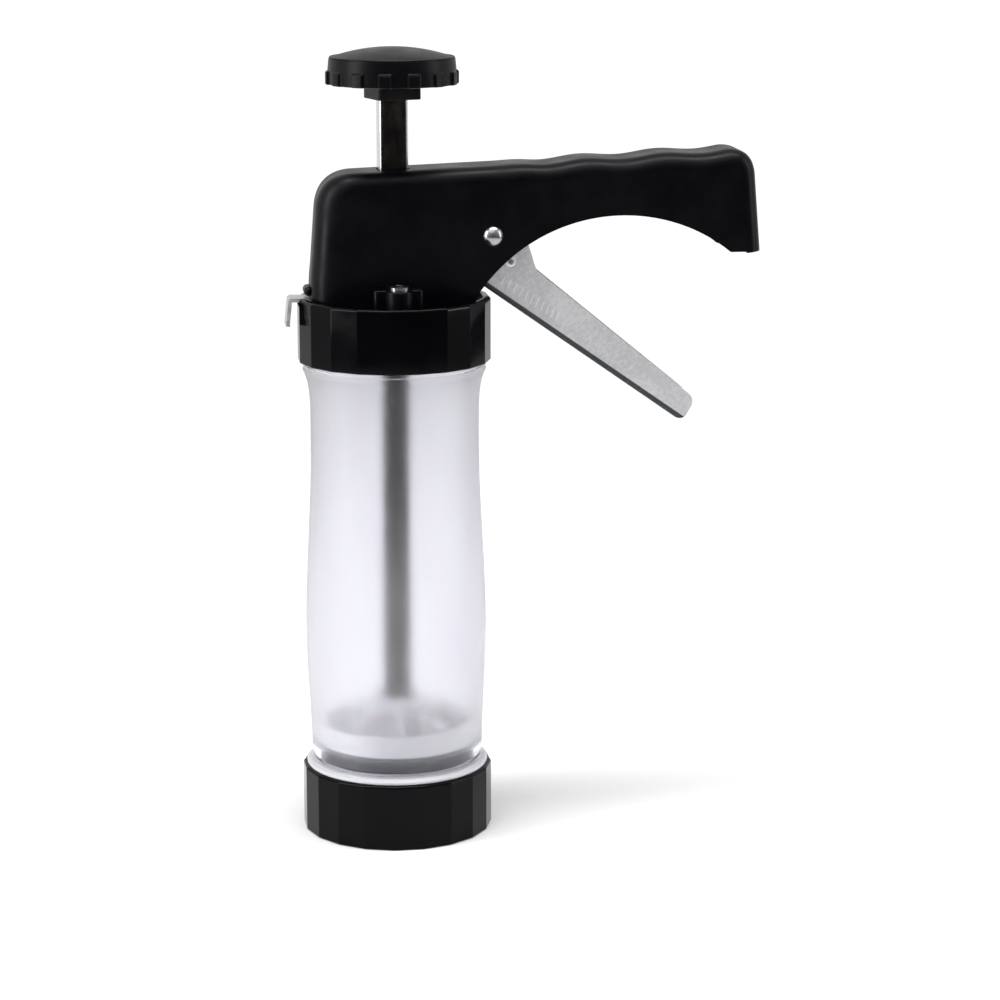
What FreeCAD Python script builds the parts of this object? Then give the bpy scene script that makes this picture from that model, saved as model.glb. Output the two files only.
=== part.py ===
"""Cookie press: a hand-held dough gun with a squeeze trigger and a push rod.

Own frame, millimetres: +Z up along the barrel axis, origin on that axis at the
underside of the base ring, handle towards +X, thickness of the handle along Y.
"""
import FreeCAD, Part
import math
import os
from FreeCAD import Vector

# ---------------------------------------------------------------- clearances
SEAT_GAP = 0.05        # two faces that rest on each other in different bodies
SLIDE_GAP = 0.08       # piston seal in the bore, pin in its hole
ROD_GAP = 0.30         # push rod in the plates that it passes through
THREAD_GAP = 0.40      # radial gap at a thread's crest and root
PART_GAP = 0.40        # ordinary gap between a moving piece and its neighbour

# ------------------------------------------------------- threads and collars
THREAD_PITCH = 4.0
THREAD_DEPTH = 1.3
THREAD_ROOT_W = 2.2
THREAD_CREST_W = 1.1
THREAD_TURNS_OUT = 1.5     # ridge on the barrel
THREAD_TURNS_IN = 1.25     # ridge in a collar
COLLAR_FACETS = 20
COLLAR_WALL = 1.7          # wall left at the middle of a facet
COLLAR_HEIGHT = 20.5
COLLAR_BEVEL = 1.1
COLLAR_PHASE = 9.0         # a facet of the top collar faces -Y
BASE_HEIGHT = 21.4
BASE_PHASE = 10.5
LIP_THICKNESS = 3.0
LIP_WIDTH = 3.4           # the lip's grip under the disc

# -------------------------------------------------------------------- barrel
BORE_R = 25.2
NECK_WALL = 2.0
BARREL_LENGTH = 165.1
LOW_NECK_LENGTH = 13.6
LOW_SHOULDER_HEIGHT = 4.2
TOP_NECK_LENGTH = 16.1
FOOT_WALL = 2.7            # barrel wall just above the lower shoulder
BELLY_WALL = 4.15
WAIST_WALL = 1.9
FLARE_WALL = 4.2
BELLY_ABOVE_FOOT = 44.0
WAIST_BELOW_FLARE = 24.0
FLARE_HEIGHT = 8.0

# ------------------------------------------------------------- disc and cap
DISC_THICKNESS = 1.5
DISC_PETALS = 6
DISC_PETAL_REACH = 13.5
DISC_PETAL_R = 3.0
DISC_CORE_R = 2.6
GASKET_THICKNESS = 1.1
CAP_THICKNESS = 2.4
RIM_HEIGHT = 2.4
RIM_WALL = 2.2

# --------------------------------------------------------------- push rod
ROD_WIDTH = 9.5            # along X
ROD_DEPTH = 8.0            # along Y
ROD_SHEET = 1.2
ROD_BEND_R = 1.8
ROD_ABOVE_SEAL = 2.0       # foot of the rod above the top of the seal
END_TAB = 1.5
SCREW_R = 1.5
SCREW_HEAD_R = 3.0
SCREW_HEAD_HEIGHT = 1.3

# ----------------------------------------------------------------- piston
PISTON_REST = 19.45        # underside of the seal above the disc
SEAL_HEIGHT = 5.0
SEAL_WIDTH = 3.6
PISTON_GAP = 0.7           # hard plastic of the piston inside the bore
PISTON_BASE = 1.6
PISTON_FLANGE = 2.0
PISTON_CUP_HEIGHT = 7.0
PISTON_CUP_WALL = 1.6
HUB_WALL = 2.25
HUB_TOP_ABOVE_SEAL = 15.2
PISTON_RIBS = 8
PISTON_RIB = 1.2

# ------------------------------------------------------------------- knob
KNOB_R = 20.3
KNOB_LUG_R = 21.1
KNOB_LUGS = 14
KNOB_LUG_WIDTH = 4.0
KNOB_LUG_HEIGHT = 4.4
KNOB_SKIRT_HEIGHT = 8.2
KNOB_WALL = 2.0
KNOB_WEB = 2.0
KNOB_DOME_HEIGHT = 3.4
KNOB_CAP_T = 1.6
KNOB_HUB_WALL = 2.35
KNOB_HUB_DROP = 4.7        # hub below the skirt
KNOB_REST = 22.4           # hub above the crown of the head
KNOB_TURN = 16.5           # degrees that the knob is set round the rod
KNOB_LUG_PHASE = 14.2

# ------------------------------------------------------------ head housing
HEAD_WALL = 2.4
HEAD_SIDE_GAP = 1.6        # between the trigger's cheeks and the walls
HEAD_BACK_LEAN = 2.7
HEAD_HEIGHT = 42.6         # foot to the crown over the rod
HANDLE_TIP = 10.3          # solid end beyond the arch
HANDLE_END_LEAN = 2.8
HANDLE_START_RISE = 2.0    # crown over the rod to the first finger crest
CREST_OUT = 9.4            # first finger crest beyond the trigger's pivot
CREST_END_IN = 6.9         # last finger crest short of the handle's end
HANDLE_CLIMB = 3.47        # degrees, rise of the finger crests towards the end
HANDLE_END_DROP = 27.2     # bottom of the handle's end below the crown
ARCH_R = 56.0
ARCH_FOOT_RISE = 1.4       # foot of the arch above the head's foot
ARCH_TOP_DROP = 14.2       # top of the arch below the crown
HEAD_CORNER_R = 9.0
HANDLE_CORNER_R = 6.5
HEAD_EDGE_R = 5.0
EAR_WIDTH = 16.0
EAR_REACH = 4.6
EAR_HEIGHT = 6.7
EAR_BOSS_R = 4.4
EAR_SCREW_OUT = 6.3        # screw axis beyond the head's side
WEB_THICKNESS = 1.9
WEB_ABOVE_CAP = 5.7        # underside of the inner web above the cap plate
FULCRUM_OUT = 7.65         # fulcrum beyond the rod
FULCRUM_RIB = 1.8

# ---------------------------------------------------------- release lever
LEVER_SHEET = 1.2
LEVER_SIDE_GAP = 1.6
LEVER_TAB_WIDTH = 9.0
LEVER_TAB_REACH = 7.0      # tab beyond the head's back
LEVER_LEG = 8.0
LEVER_TILT = 1.8
LEVER_STOP_GAP = 0.15
RELEASE_SPRING_OUT = 11.25 # spring axis behind the rod
RELEASE_SPRING_R = 2.4
RELEASE_WIRE = 0.5
RELEASE_TURNS = 5.0
POCKET_DEPTH = 5.4         # spring pocket, from the top of the cap plate

# ------------------------------------------------------- trigger and drive
PIVOT_OUT = 6.5            # pivot in front of the head's foot
PIVOT_ABOVE_CAP = 22.4
PIVOT_R = 1.9
RIVET_HEAD_R = 3.1
RIVET_HEAD_H = 1.7
TRIGGER_WIDTH = 16.0
TRIGGER_SHEET = 1.4
TRIGGER_BEND_R = 2.0
TRIGGER_ARM = 20.0         # pivot to the nose that pushes the drive plate
TRIGGER_NOSE_R = 2.5
TRIGGER_SWING = 24.0
EYELET_DX = 6.0
EYELET_DZ = -8.5
EYELET_R = 1.3
EYELET_HOLE_R = 0.65
EYELET_PROUD = 0.3
DRIVE_PLATE = 2.0
DRIVE_MARGIN = 4.75        # plate behind the rod
DRIVE_LAND = 3.6           # plate in front of the nose
DRIVE_WIRE = 0.9
DRIVE_TURNS = 5.0

# --------------------------------------------------------- derived heights
Z_DISC = LIP_THICKNESS + SEAT_GAP
Z_BARREL = Z_DISC + DISC_THICKNESS + SEAT_GAP
Z_BARREL_TOP = Z_BARREL + BARREL_LENGTH
Z_LOW_SHOULDER = Z_BARREL + LOW_NECK_LENGTH
Z_FOOT = Z_LOW_SHOULDER + LOW_SHOULDER_HEIGHT
Z_FLARE_TOP = Z_BARREL_TOP - TOP_NECK_LENGTH
Z_GASKET = Z_BARREL_TOP + SEAT_GAP
Z_CAP_UNDER = Z_GASKET + GASKET_THICKNESS + SEAT_GAP
Z_CAP = Z_CAP_UNDER + CAP_THICKNESS
Z_RIM = Z_CAP + RIM_HEIGHT
Z_COLLAR = Z_RIM - COLLAR_HEIGHT
Z_SEAL = Z_DISC + DISC_THICKNESS + PISTON_REST
Z_SEAL_TOP = Z_SEAL + SEAL_HEIGHT
Z_ROD = Z_SEAL_TOP + ROD_ABOVE_SEAL
Z_CROWN = Z_CAP + HEAD_HEIGHT
Z_KNOB = Z_CROWN + KNOB_REST + KNOB_HUB_DROP
Z_KNOB_TOP = Z_KNOB + KNOB_SKIRT_HEIGHT
Z_ROD_TOP = Z_KNOB_TOP - SCREW_HEAD_HEIGHT - SEAT_GAP - KNOB_WEB
Z_WEB = Z_CAP + WEB_ABOVE_CAP
Z_WEB_TOP = Z_WEB + WEB_THICKNESS
Z_PIVOT = Z_CAP + PIVOT_ABOVE_CAP
Z_EAR = Z_CAP + EAR_HEIGHT
Z_FULCRUM = Z_CAP + 0.15

# ----------------------------------------------------------- derived radii
NECK_R = BORE_R + NECK_WALL
CREST_R = NECK_R + THREAD_DEPTH
CAVITY_R = CREST_R + THREAD_GAP
RIDGE_IN_R = NECK_R + THREAD_GAP
SHOULDER_R = CAVITY_R - THREAD_GAP
COLLAR_FLAT_R = CAVITY_R + COLLAR_WALL
COLLAR_CORNER_R = COLLAR_FLAT_R / math.cos(math.pi / COLLAR_FACETS)
RIM_BORE_R = COLLAR_FLAT_R - RIM_WALL
DISC_R = CAVITY_R - 0.5
OUTLET_R = DISC_R - LIP_WIDTH
SEAL_R = BORE_R - SLIDE_GAP
PISTON_R = BORE_R - PISTON_GAP
HEAD_INNER = TRIGGER_WIDTH / 2 + HEAD_SIDE_GAP
HEAD_HALF = HEAD_INNER + HEAD_WALL
HUB_SIDE = ROD_WIDTH + 2 * HUB_WALL
KNOB_HUB_SIDE = ROD_WIDTH + 2 * KNOB_HUB_WALL
ROD_LENGTH = Z_ROD_TOP - Z_ROD
ROD_CORNER = math.hypot(ROD_WIDTH / 2, ROD_DEPTH / 2)
POCKET_R = RELEASE_SPRING_R + RELEASE_WIRE / 2 + PART_GAP

# The head stands on the cap plate inside the rim.
FOOT_R = RIM_BORE_R - PART_GAP - HEAD_EDGE_R
HEAD_BACK_X = -HEAD_EDGE_R - math.sqrt(FOOT_R ** 2 - (HEAD_HALF - HEAD_EDGE_R) ** 2)
HEAD_FRONT_X = math.sqrt((RIM_BORE_R - 1.5) ** 2 - HEAD_HALF ** 2)
ARCH_TOP_Z = Z_CROWN - ARCH_TOP_DROP
ARCH_CENTRE_Z = ARCH_TOP_Z - ARCH_R
ARCH_FOOT_Z = Z_CAP + ARCH_FOOT_RISE
ARCH_X = HEAD_FRONT_X + math.sqrt(ARCH_R ** 2 - (ARCH_FOOT_Z - ARCH_CENTRE_Z) ** 2)
HANDLE_END_Z = Z_CROWN - HANDLE_END_DROP + 0.7
ARCH_END_X = ARCH_X + math.sqrt(ARCH_R ** 2 - (HANDLE_END_Z - ARCH_CENTRE_Z) ** 2)
HANDLE_END_X = ARCH_END_X + HANDLE_TIP
HANDLE_END_TOP_X = HANDLE_END_X - HANDLE_END_LEAN
EAR_SCREW_Y = HEAD_HALF + EAR_SCREW_OUT
FULCRUM_X = ROD_WIDTH / 2 + FULCRUM_OUT
LEVER_PIVOT_X = FULCRUM_X - LEVER_SHEET / 2
LEVER_PIVOT_Z = Z_FULCRUM + LEVER_SHEET / 2
LEVER_HALF_WIDTH = HEAD_INNER - LEVER_SIDE_GAP
LEVER_TAB_X = HEAD_BACK_X - LEVER_TAB_REACH
LEVER_RISE = 0.15 + (FULCRUM_X - HEAD_BACK_X) * math.tan(math.radians(LEVER_TILT))
RELEASE_SPRING_X = -ROD_WIDTH / 2 - RELEASE_SPRING_OUT
PIVOT_X = HEAD_FRONT_X + PIVOT_OUT
CREST_START_X = PIVOT_X + CREST_OUT
CREST_RUN = HANDLE_END_TOP_X - CREST_END_IN - CREST_START_X
HANDLE_RISE = CREST_RUN * math.tan(math.radians(HANDLE_CLIMB))

# The trigger's nose swings equally above and below the pivot's height.
NOSE_LIFT = math.radians(TRIGGER_SWING / 2)
NOSE_X = PIVOT_X - TRIGGER_ARM * math.cos(NOSE_LIFT)
NOSE_Z = Z_PIVOT + TRIGGER_ARM * math.sin(NOSE_LIFT)
Z_DRIVE_TOP = NOSE_Z - TRIGGER_NOSE_R - SEAT_GAP
Z_DRIVE = Z_DRIVE_TOP - DRIVE_PLATE
DRIVE_BACK_X = -ROD_WIDTH / 2 - DRIVE_MARGIN
DRIVE_FRONT_X = NOSE_X + DRIVE_LAND
DRIVE_HALF_WIDTH = TRIGGER_WIDTH / 2 - 0.2
DRIVE_SPRING_R = ROD_CORNER + ROD_GAP + DRIVE_WIRE / 2

UP = Vector(0, 0, 1)
ORIGIN = Vector(0, 0, 0)


# ------------------------------------------------------------------ helpers
def box(x0, x1, y0, y1, z0, z1):
    """Box between two corners."""
    return Part.makeBox(x1 - x0, y1 - y0, z1 - z0, Vector(x0, y0, z0))


def rod(r, z0, z1, x=0.0, y=0.0):
    """Upright cylinder."""
    return Part.makeCylinder(r, z1 - z0, Vector(x, y, z0), UP)


def cross_rod(r, y0, y1, x, z):
    """Cylinder along Y."""
    return Part.makeCylinder(r, y1 - y0, Vector(x, y0, z), Vector(0, 1, 0))


def turned(points):
    """Solid of revolution about Z from a closed outline of (radius, z)."""
    path = [Vector(r, 0, z) for r, z in points]
    wire = Part.makePolygon(path + [path[0]])
    return Part.Face(wire).revolve(ORIGIN, UP, 360)


def rounded_wire(points):
    """Closed outline in the XZ plane; each point is (x, z, corner radius)."""
    edges = []
    count = len(points)
    starts = []
    ends = []
    mids = []
    for i in range(count):
        x, z, r = points[i]
        here = Vector(x, 0, z)
        before = Vector(points[i - 1][0], 0, points[i - 1][1])
        after = Vector(points[(i + 1) % count][0], 0, points[(i + 1) % count][1])
        into = (before - here).normalize()
        out = (after - here).normalize()
        if r <= 0:
            starts.append(here)
            ends.append(here)
            mids.append(None)
            continue
        half = into.getAngle(out) / 2
        reach = r / math.tan(half)
        starts.append(here + into * reach)
        ends.append(here + out * reach)
        middle = (into + out).normalize()
        centre = here + middle * (r / math.sin(half))
        mids.append(centre - middle * r)
    for i in range(count):
        if mids[i] is not None:
            edges.append(Part.Arc(starts[i], mids[i], ends[i]).toShape())
        following = starts[(i + 1) % count]
        if (following - ends[i]).Length > 1e-6:
            edges.append(Part.makeLine(ends[i], following))
    return Part.Wire(edges)


def slab(wire, y0, y1):
    """Prism along Y of an outline in the XZ plane."""
    face = Part.Face(wire)
    face.translate(Vector(0, y0, 0))
    return face.extrude(Vector(0, y1 - y0, 0))


def ridge(root_r, crest_r, z_mid, turns):
    """Helical thread ridge from its buried root to its crest."""
    inward = crest_r < root_r
    sink = 0.3 if inward else -0.3
    root = root_r + sink
    helix = Part.makeHelix(THREAD_PITCH, THREAD_PITCH * turns, root)
    half_root = THREAD_ROOT_W / 2
    half_crest = THREAD_CREST_W / 2
    corners = [
        Vector(root, 0, -half_root),
        Vector(crest_r, 0, -half_crest),
        Vector(crest_r, 0, half_crest),
        Vector(root, 0, half_root),
    ]
    section = Part.makePolygon(corners + [corners[0]])
    sweep = Part.Wire(helix.Edges).makePipeShell([section], True, True)
    sweep.translate(Vector(0, 0, z_mid))
    return sweep


def coil(mean_r, wire_r, z0, z1, turns, x=0.0):
    """Open compression spring between two heights."""
    low = z0 + wire_r + SEAT_GAP
    high = z1 - wire_r - SEAT_GAP
    pitch = (high - low) / turns
    helix = Part.makeHelix(pitch, high - low, mean_r)
    start_along = Vector(0, 2 * math.pi * mean_r, pitch)
    circle = Part.makeCircle(wire_r, Vector(mean_r, 0, 0), start_along)
    sweep = Part.Wire(helix.Edges).makePipeShell([Part.Wire([circle])], True, True)
    sweep.translate(Vector(x, 0, low))
    return sweep


def faceted_blank(z0, z1, phase):
    """Faceted collar blank with bevelled rims."""
    corners = []
    for k in range(COLLAR_FACETS):
        a = math.radians(phase + 360.0 * k / COLLAR_FACETS)
        corners.append(Vector(COLLAR_CORNER_R * math.cos(a), COLLAR_CORNER_R * math.sin(a), z0))
    prism = Part.Face(Part.makePolygon(corners + [corners[0]])).extrude(Vector(0, 0, z1 - z0))
    rim = COLLAR_FLAT_R - COLLAR_BEVEL + 0.35
    far = COLLAR_CORNER_R + 2.0
    slope = far - rim
    limit = turned([(0, z0), (rim, z0), (far, z0 + slope), (far, z1 - slope), (rim, z1), (0, z1)])
    return prism.common(limit)


def rod_opening(z0, z1):
    """Hole that the push rod runs through."""
    half_x = ROD_WIDTH / 2 + ROD_GAP
    half_y = ROD_DEPTH / 2 + ROD_GAP
    return box(-half_x, half_x, -half_y, half_y, z0, z1)


def one_solid(shape):
    """The single solid of a finished piece."""
    return shape.Solids[0] if len(shape.Solids) == 1 else shape


# ------------------------------------------------------- ring, disc, barrel
def base_ring():
    """Faceted ring that screws on the barrel's foot and carries the disc."""
    body = faceted_blank(0, BASE_HEIGHT, BASE_PHASE)
    body = body.cut(rod(CAVITY_R, LIP_THICKNESS, BASE_HEIGHT + 1))
    body = body.cut(rod(OUTLET_R, -1, LIP_THICKNESS + 1))
    z_mid = Z_BARREL + 2.9 + THREAD_PITCH / 2
    return one_solid(body.fuse(ridge(CAVITY_R, RIDGE_IN_R, z_mid, THREAD_TURNS_IN)))


def shaping_disc():
    """Thin disc with a flower of six petals that shapes the dough."""
    disc = rod(DISC_R, Z_DISC, Z_DISC + DISC_THICKNESS)
    z0 = Z_DISC - 1
    z1 = Z_DISC + DISC_THICKNESS + 1
    cuts = [rod(DISC_CORE_R, z0, z1)]
    inner = DISC_CORE_R + 2.4
    for k in range(DISC_PETALS):
        petal = rod(DISC_PETAL_R, z0, z1, DISC_PETAL_REACH - DISC_PETAL_R)
        tip = [Vector(inner, 0, z0)]
        tip.append(Vector(DISC_PETAL_REACH - DISC_PETAL_R, -DISC_PETAL_R, z0))
        tip.append(Vector(DISC_PETAL_REACH - DISC_PETAL_R, DISC_PETAL_R, z0))
        wedge = Part.Face(Part.makePolygon(tip + [tip[0]])).extrude(Vector(0, 0, z1 - z0))
        petal = petal.fuse(wedge)
        petal.rotate(ORIGIN, UP, 360.0 * k / DISC_PETALS)
        cuts.append(petal)
    return one_solid(disc.cut(cuts))


def barrel():
    """Waisted clear barrel with a threaded neck at each end."""
    curve_points = [
        Vector(BORE_R + FOOT_WALL, 0, Z_FOOT),
        Vector(BORE_R + BELLY_WALL, 0, Z_FOOT + BELLY_ABOVE_FOOT),
        Vector(BORE_R + WAIST_WALL, 0, Z_FLARE_TOP - WAIST_BELOW_FLARE),
        Vector(BORE_R + WAIST_WALL + 0.5, 0, Z_FLARE_TOP - FLARE_HEIGHT),
        Vector(BORE_R + FLARE_WALL, 0, Z_FLARE_TOP - 1.2),
    ]
    side = Part.BSplineCurve()
    side.interpolate(curve_points)
    head = [
        Vector(BORE_R, 0, Z_BARREL),
        Vector(NECK_R, 0, Z_BARREL),
        Vector(NECK_R, 0, Z_LOW_SHOULDER),
        Vector(SHOULDER_R, 0, Z_LOW_SHOULDER),
        Vector(SHOULDER_R, 0, Z_FOOT),
        curve_points[0],
    ]
    tail = [
        curve_points[-1],
        Vector(BORE_R + FLARE_WALL, 0, Z_FLARE_TOP),
        Vector(NECK_R, 0, Z_FLARE_TOP),
        Vector(NECK_R, 0, Z_BARREL_TOP),
        Vector(BORE_R, 0, Z_BARREL_TOP),
        Vector(BORE_R, 0, Z_BARREL),
    ]
    edges = [Part.makeLine(a, b) for a, b in zip(head, head[1:])]
    edges.append(side.toShape())
    edges += [Part.makeLine(a, b) for a, b in zip(tail, tail[1:])]
    body = Part.Face(Part.Wire(edges)).revolve(ORIGIN, UP, 360)
    low = ridge(NECK_R, CREST_R, Z_BARREL + 2.9, THREAD_TURNS_OUT)
    top_mid = Z_COLLAR + 2.8 + THREAD_PITCH / 2
    top = ridge(NECK_R, CREST_R, top_mid, THREAD_TURNS_OUT)
    return one_solid(body.fuse([low, top]))


def top_gasket():
    """Soft ring between the barrel's rim and the cap plate."""
    inner = BORE_R + 0.4
    ring = rod(NECK_R, Z_GASKET, Z_GASKET + GASKET_THICKNESS)
    return one_solid(ring.cut(rod(inner, Z_GASKET - 1, Z_GASKET + GASKET_THICKNESS + 1)))


# ------------------------------------------------------------- top collar
def top_collar():
    """Faceted cap under the head, with the barrel's thread inside."""
    body = faceted_blank(Z_COLLAR, Z_RIM, COLLAR_PHASE)
    body = body.cut(rod(CAVITY_R, Z_COLLAR - 1, Z_CAP_UNDER))
    body = body.cut(rod(RIM_BORE_R, Z_CAP, Z_RIM + 1))
    body = body.fuse(ridge(CAVITY_R, RIDGE_IN_R, Z_COLLAR + 2.8, THREAD_TURNS_IN))
    pocket_floor = Z_CAP - POCKET_DEPTH
    body = body.fuse(rod(POCKET_R + 1.3, pocket_floor - 1.3, Z_CAP_UNDER + 0.5, RELEASE_SPRING_X))
    for side in (-1, 1):
        y = side * EAR_SCREW_Y
        body = body.fuse(rod(SCREW_R + 1.8, Z_CAP_UNDER - 5.0, Z_CAP_UNDER + 0.5, 0, y))
    body = body.cut(rod_opening(Z_CAP_UNDER - 1, Z_CAP + 1))
    body = body.cut(rod(POCKET_R, pocket_floor, Z_CAP + 1, RELEASE_SPRING_X))
    notch = LEVER_TAB_WIDTH / 2 + PART_GAP
    notch_end = -RIM_BORE_R + 1
    body = body.cut(box(-COLLAR_CORNER_R - 1, notch_end, -notch, notch, Z_CAP, Z_RIM + 1))
    for side in (-1, 1):
        body = body.cut(rod(SCREW_R, Z_CAP_UNDER - 4.0, Z_CAP + 1, 0, side * EAR_SCREW_Y))
    return one_solid(body)


def collar_screws():
    """Two pan-head screws that hold the head to the collar."""
    screws = []
    for side in (-1, 1):
        y = side * EAR_SCREW_Y
        head = rod(SCREW_HEAD_R, Z_EAR, Z_EAR + 1.2, 0, y)
        dome = Part.makeSphere(5.2, Vector(0, y, Z_EAR + 1.75 - 5.2))
        dome = dome.common(rod(SCREW_HEAD_R, Z_EAR + 0.9, Z_EAR + 3, 0, y))
        shank = rod(SCREW_R, Z_CAP_UNDER - 3.6, Z_EAR + 0.1, 0, y)
        screw = head.fuse([dome, shank])
        for turn in (0, 90):
            slot = box(-1.7, 1.7, -0.35, 0.35, Z_EAR + 0.75, Z_EAR + 3)
            slot.rotate(ORIGIN, UP, turn + 45)
            slot.translate(Vector(0, y, 0))
            screw = screw.cut(slot)
        screws.append(one_solid(screw))
    return Part.makeCompound(screws)


# ------------------------------------------------------------ head housing
def crown_points(inset):
    """Finger crests along the top of the handle, lowered by an inset."""
    waves = [
        (0.0, 0.0),
        (0.08, -0.02),
        (0.19, 0.25),
        (0.31, 0.43),
        (0.45, 0.32),
        (0.56, 0.61),
        (0.68, 0.76),
        (0.80, 0.69),
        (0.90, 0.89),
        (1.0, 1.0),
    ]
    base = Z_CROWN + HANDLE_START_RISE - inset
    return [
        Vector(CREST_START_X + CREST_RUN * along, 0, base + HANDLE_RISE * up)
        for along, up in waves
    ]


def head_wire(inset, z_low):
    """Side outline of the head; inset and open-bottomed for the hollow."""
    back = HEAD_BACK_X + inset
    back_top = HEAD_BACK_X + HEAD_BACK_LEAN + inset
    top_left = Vector(back_top + HEAD_CORNER_R, 0, Z_CROWN - 0.2 - inset)
    corner_low = Vector(back_top - 0.2, 0, Z_CROWN - HEAD_CORNER_R - inset)
    mid_angle = math.radians(135)
    reach = HEAD_CORNER_R
    corner_mid = Vector(
        back_top + reach + reach * math.cos(mid_angle) - 0.1,
        0,
        Z_CROWN - reach - inset + reach * math.sin(mid_angle) - 0.15,
    )
    waves = crown_points(inset)
    end_x = HANDLE_END_X - inset
    end_top = HANDLE_END_TOP_X - inset
    end_high = waves[-1].z - HANDLE_CORNER_R
    end_corner = Vector(end_top, 0, end_high)
    last = waves[-1]
    end_mid = Vector(
        last.x + (end_top - last.x) * 0.72,
        0,
        end_high + (last.z - end_high) * 0.68,
    )
    side = Part.BSplineCurve()
    slope = waves[0] - top_left
    side.interpolate(waves, InitialTangent=slope, FinalTangent=Vector(20, 0, 0.3))
    edges = [
        Part.makeLine(Vector(back, 0, z_low), Vector(back, 0, Z_CAP + 8.3)),
        Part.makeLine(Vector(back, 0, Z_CAP + 8.3), corner_low),
        Part.Arc(corner_low, corner_mid, top_left).toShape(),
        Part.makeLine(top_left, waves[0]),
        side.toShape(),
        Part.Arc(waves[-1], end_mid, end_corner).toShape(),
    ]
    return edges, end_corner, end_x


def head_outer():
    """Outer block of the head and handle."""
    edges, end_corner, end_x = head_wire(0.0, Z_CAP)
    arch_end = Vector(ARCH_END_X, 0, HANDLE_END_Z)
    arch_foot = Vector(HEAD_FRONT_X, 0, ARCH_FOOT_Z)
    end_low = Vector(end_x, 0, HANDLE_END_Z)
    edges.append(Part.makeLine(end_corner, end_low))
    edges.append(Part.makeLine(end_low, arch_end))
    arch_mid = Vector(ARCH_X, 0, ARCH_TOP_Z)
    edges.append(Part.Arc(arch_end, arch_mid, arch_foot).toShape())
    base = Vector(HEAD_FRONT_X, 0, Z_CAP)
    edges.append(Part.makeLine(arch_foot, base))
    edges.append(Part.makeLine(base, Vector(HEAD_BACK_X, 0, Z_CAP)))
    block = slab(Part.Wire(edges), -HEAD_HALF, HEAD_HALF)
    chosen = []
    for edge in block.Edges:
        box_ = edge.BoundBox
        on_side = abs(abs(box_.YMin) - HEAD_HALF) < 1e-3 and box_.YLength < 1e-3
        low_arch = edge.CenterOfMass.z < Z_CROWN - 12.0 and HEAD_BACK_X + 6 < edge.CenterOfMass.x
        low_arch = low_arch and edge.CenterOfMass.x < HANDLE_END_X - 4
        flat_foot = box_.ZMax < Z_CAP + 0.1
        if on_side and not low_arch and not flat_foot:
            chosen.append(edge)
    return block.makeFillet(HEAD_EDGE_R, chosen)


def head_hollow():
    """Inside of the head and handle, open along the whole underside."""
    z_low = Z_CAP - 3.0
    edges, end_corner, end_x = head_wire(HEAD_WALL, z_low)
    end_low = Vector(end_x, 0, z_low)
    edges.append(Part.makeLine(end_corner, end_low))
    edges.append(Part.makeLine(end_low, Vector(HEAD_BACK_X + HEAD_WALL, 0, z_low)))
    block = slab(Part.Wire(edges), -HEAD_INNER, HEAD_INNER)
    chosen = []
    for edge in block.Edges:
        box_ = edge.BoundBox
        on_side = abs(abs(box_.YMin) - HEAD_INNER) < 1e-3 and box_.YLength < 1e-3
        if on_side and box_.ZMax > z_low + 0.1:
            chosen.append(edge)
    return block.makeFillet(HEAD_EDGE_R - HEAD_WALL, chosen)


def head_housing():
    """One moulded shell: head over the rod, handle, ears and inner web."""
    body = head_outer().cut(head_hollow())
    inner_back = HEAD_BACK_X + HEAD_WALL
    web_end = FULCRUM_X + PART_GAP + FULCRUM_RIB
    side = HEAD_INNER + 0.4
    web = box(inner_back - 0.4, web_end, -side, side, Z_WEB, Z_WEB_TOP)
    rib = box(web_end - FULCRUM_RIB, web_end, -side, side, Z_CAP, Z_WEB + 0.5)
    parts = [web, rib]
    for sign in (-1, 1):
        near = HEAD_INNER + HEAD_WALL / 2
        far = HEAD_HALF + EAR_REACH
        y0 = near if sign > 0 else -far
        y1 = far if sign > 0 else -near
        ear = box(-EAR_WIDTH / 2, EAR_WIDTH / 2, y0, y1, Z_CAP, Z_EAR)
        corners = [e for e in ear.Edges if abs(e.CenterOfMass.y) > far - 0.01]
        corners = [e for e in corners if e.BoundBox.ZLength > 1.0]
        ear = ear.makeFillet(2.0, corners)
        boss = rod(EAR_BOSS_R, Z_CAP, Z_EAR, 0, sign * EAR_SCREW_Y)
        parts += [ear, boss]
    bump_z = Z_CAP + LEVER_RISE + LEVER_SHEET + LEVER_STOP_GAP + 2.0
    bump = cross_rod(1.5, -3.0, 3.0, HEAD_BACK_X - 0.5, bump_z)
    for end in (-3.0, 3.0):
        bump = bump.fuse(Part.makeSphere(1.5, Vector(HEAD_BACK_X - 0.5, end, bump_z)))
    parts.append(bump)
    body = body.fuse(parts)
    cuts = [rod_opening(Z_WEB - 1, Z_CROWN + 6)]
    slot = LEVER_TAB_WIDTH / 2 + PART_GAP
    slot_top = Z_CAP + LEVER_RISE + LEVER_SHEET + LEVER_STOP_GAP
    cuts.append(box(HEAD_BACK_X - 3, inner_back + 0.8, -slot, slot, Z_CAP - 1, slot_top))
    cuts.append(cross_rod(PIVOT_R, -HEAD_HALF - 1, HEAD_HALF + 1, PIVOT_X, Z_PIVOT))
    for sign in (-1, 1):
        cuts.append(rod(SCREW_R, Z_CAP - 1, Z_EAR + 1, 0, sign * EAR_SCREW_Y))
    return one_solid(body.cut(cuts))


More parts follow.
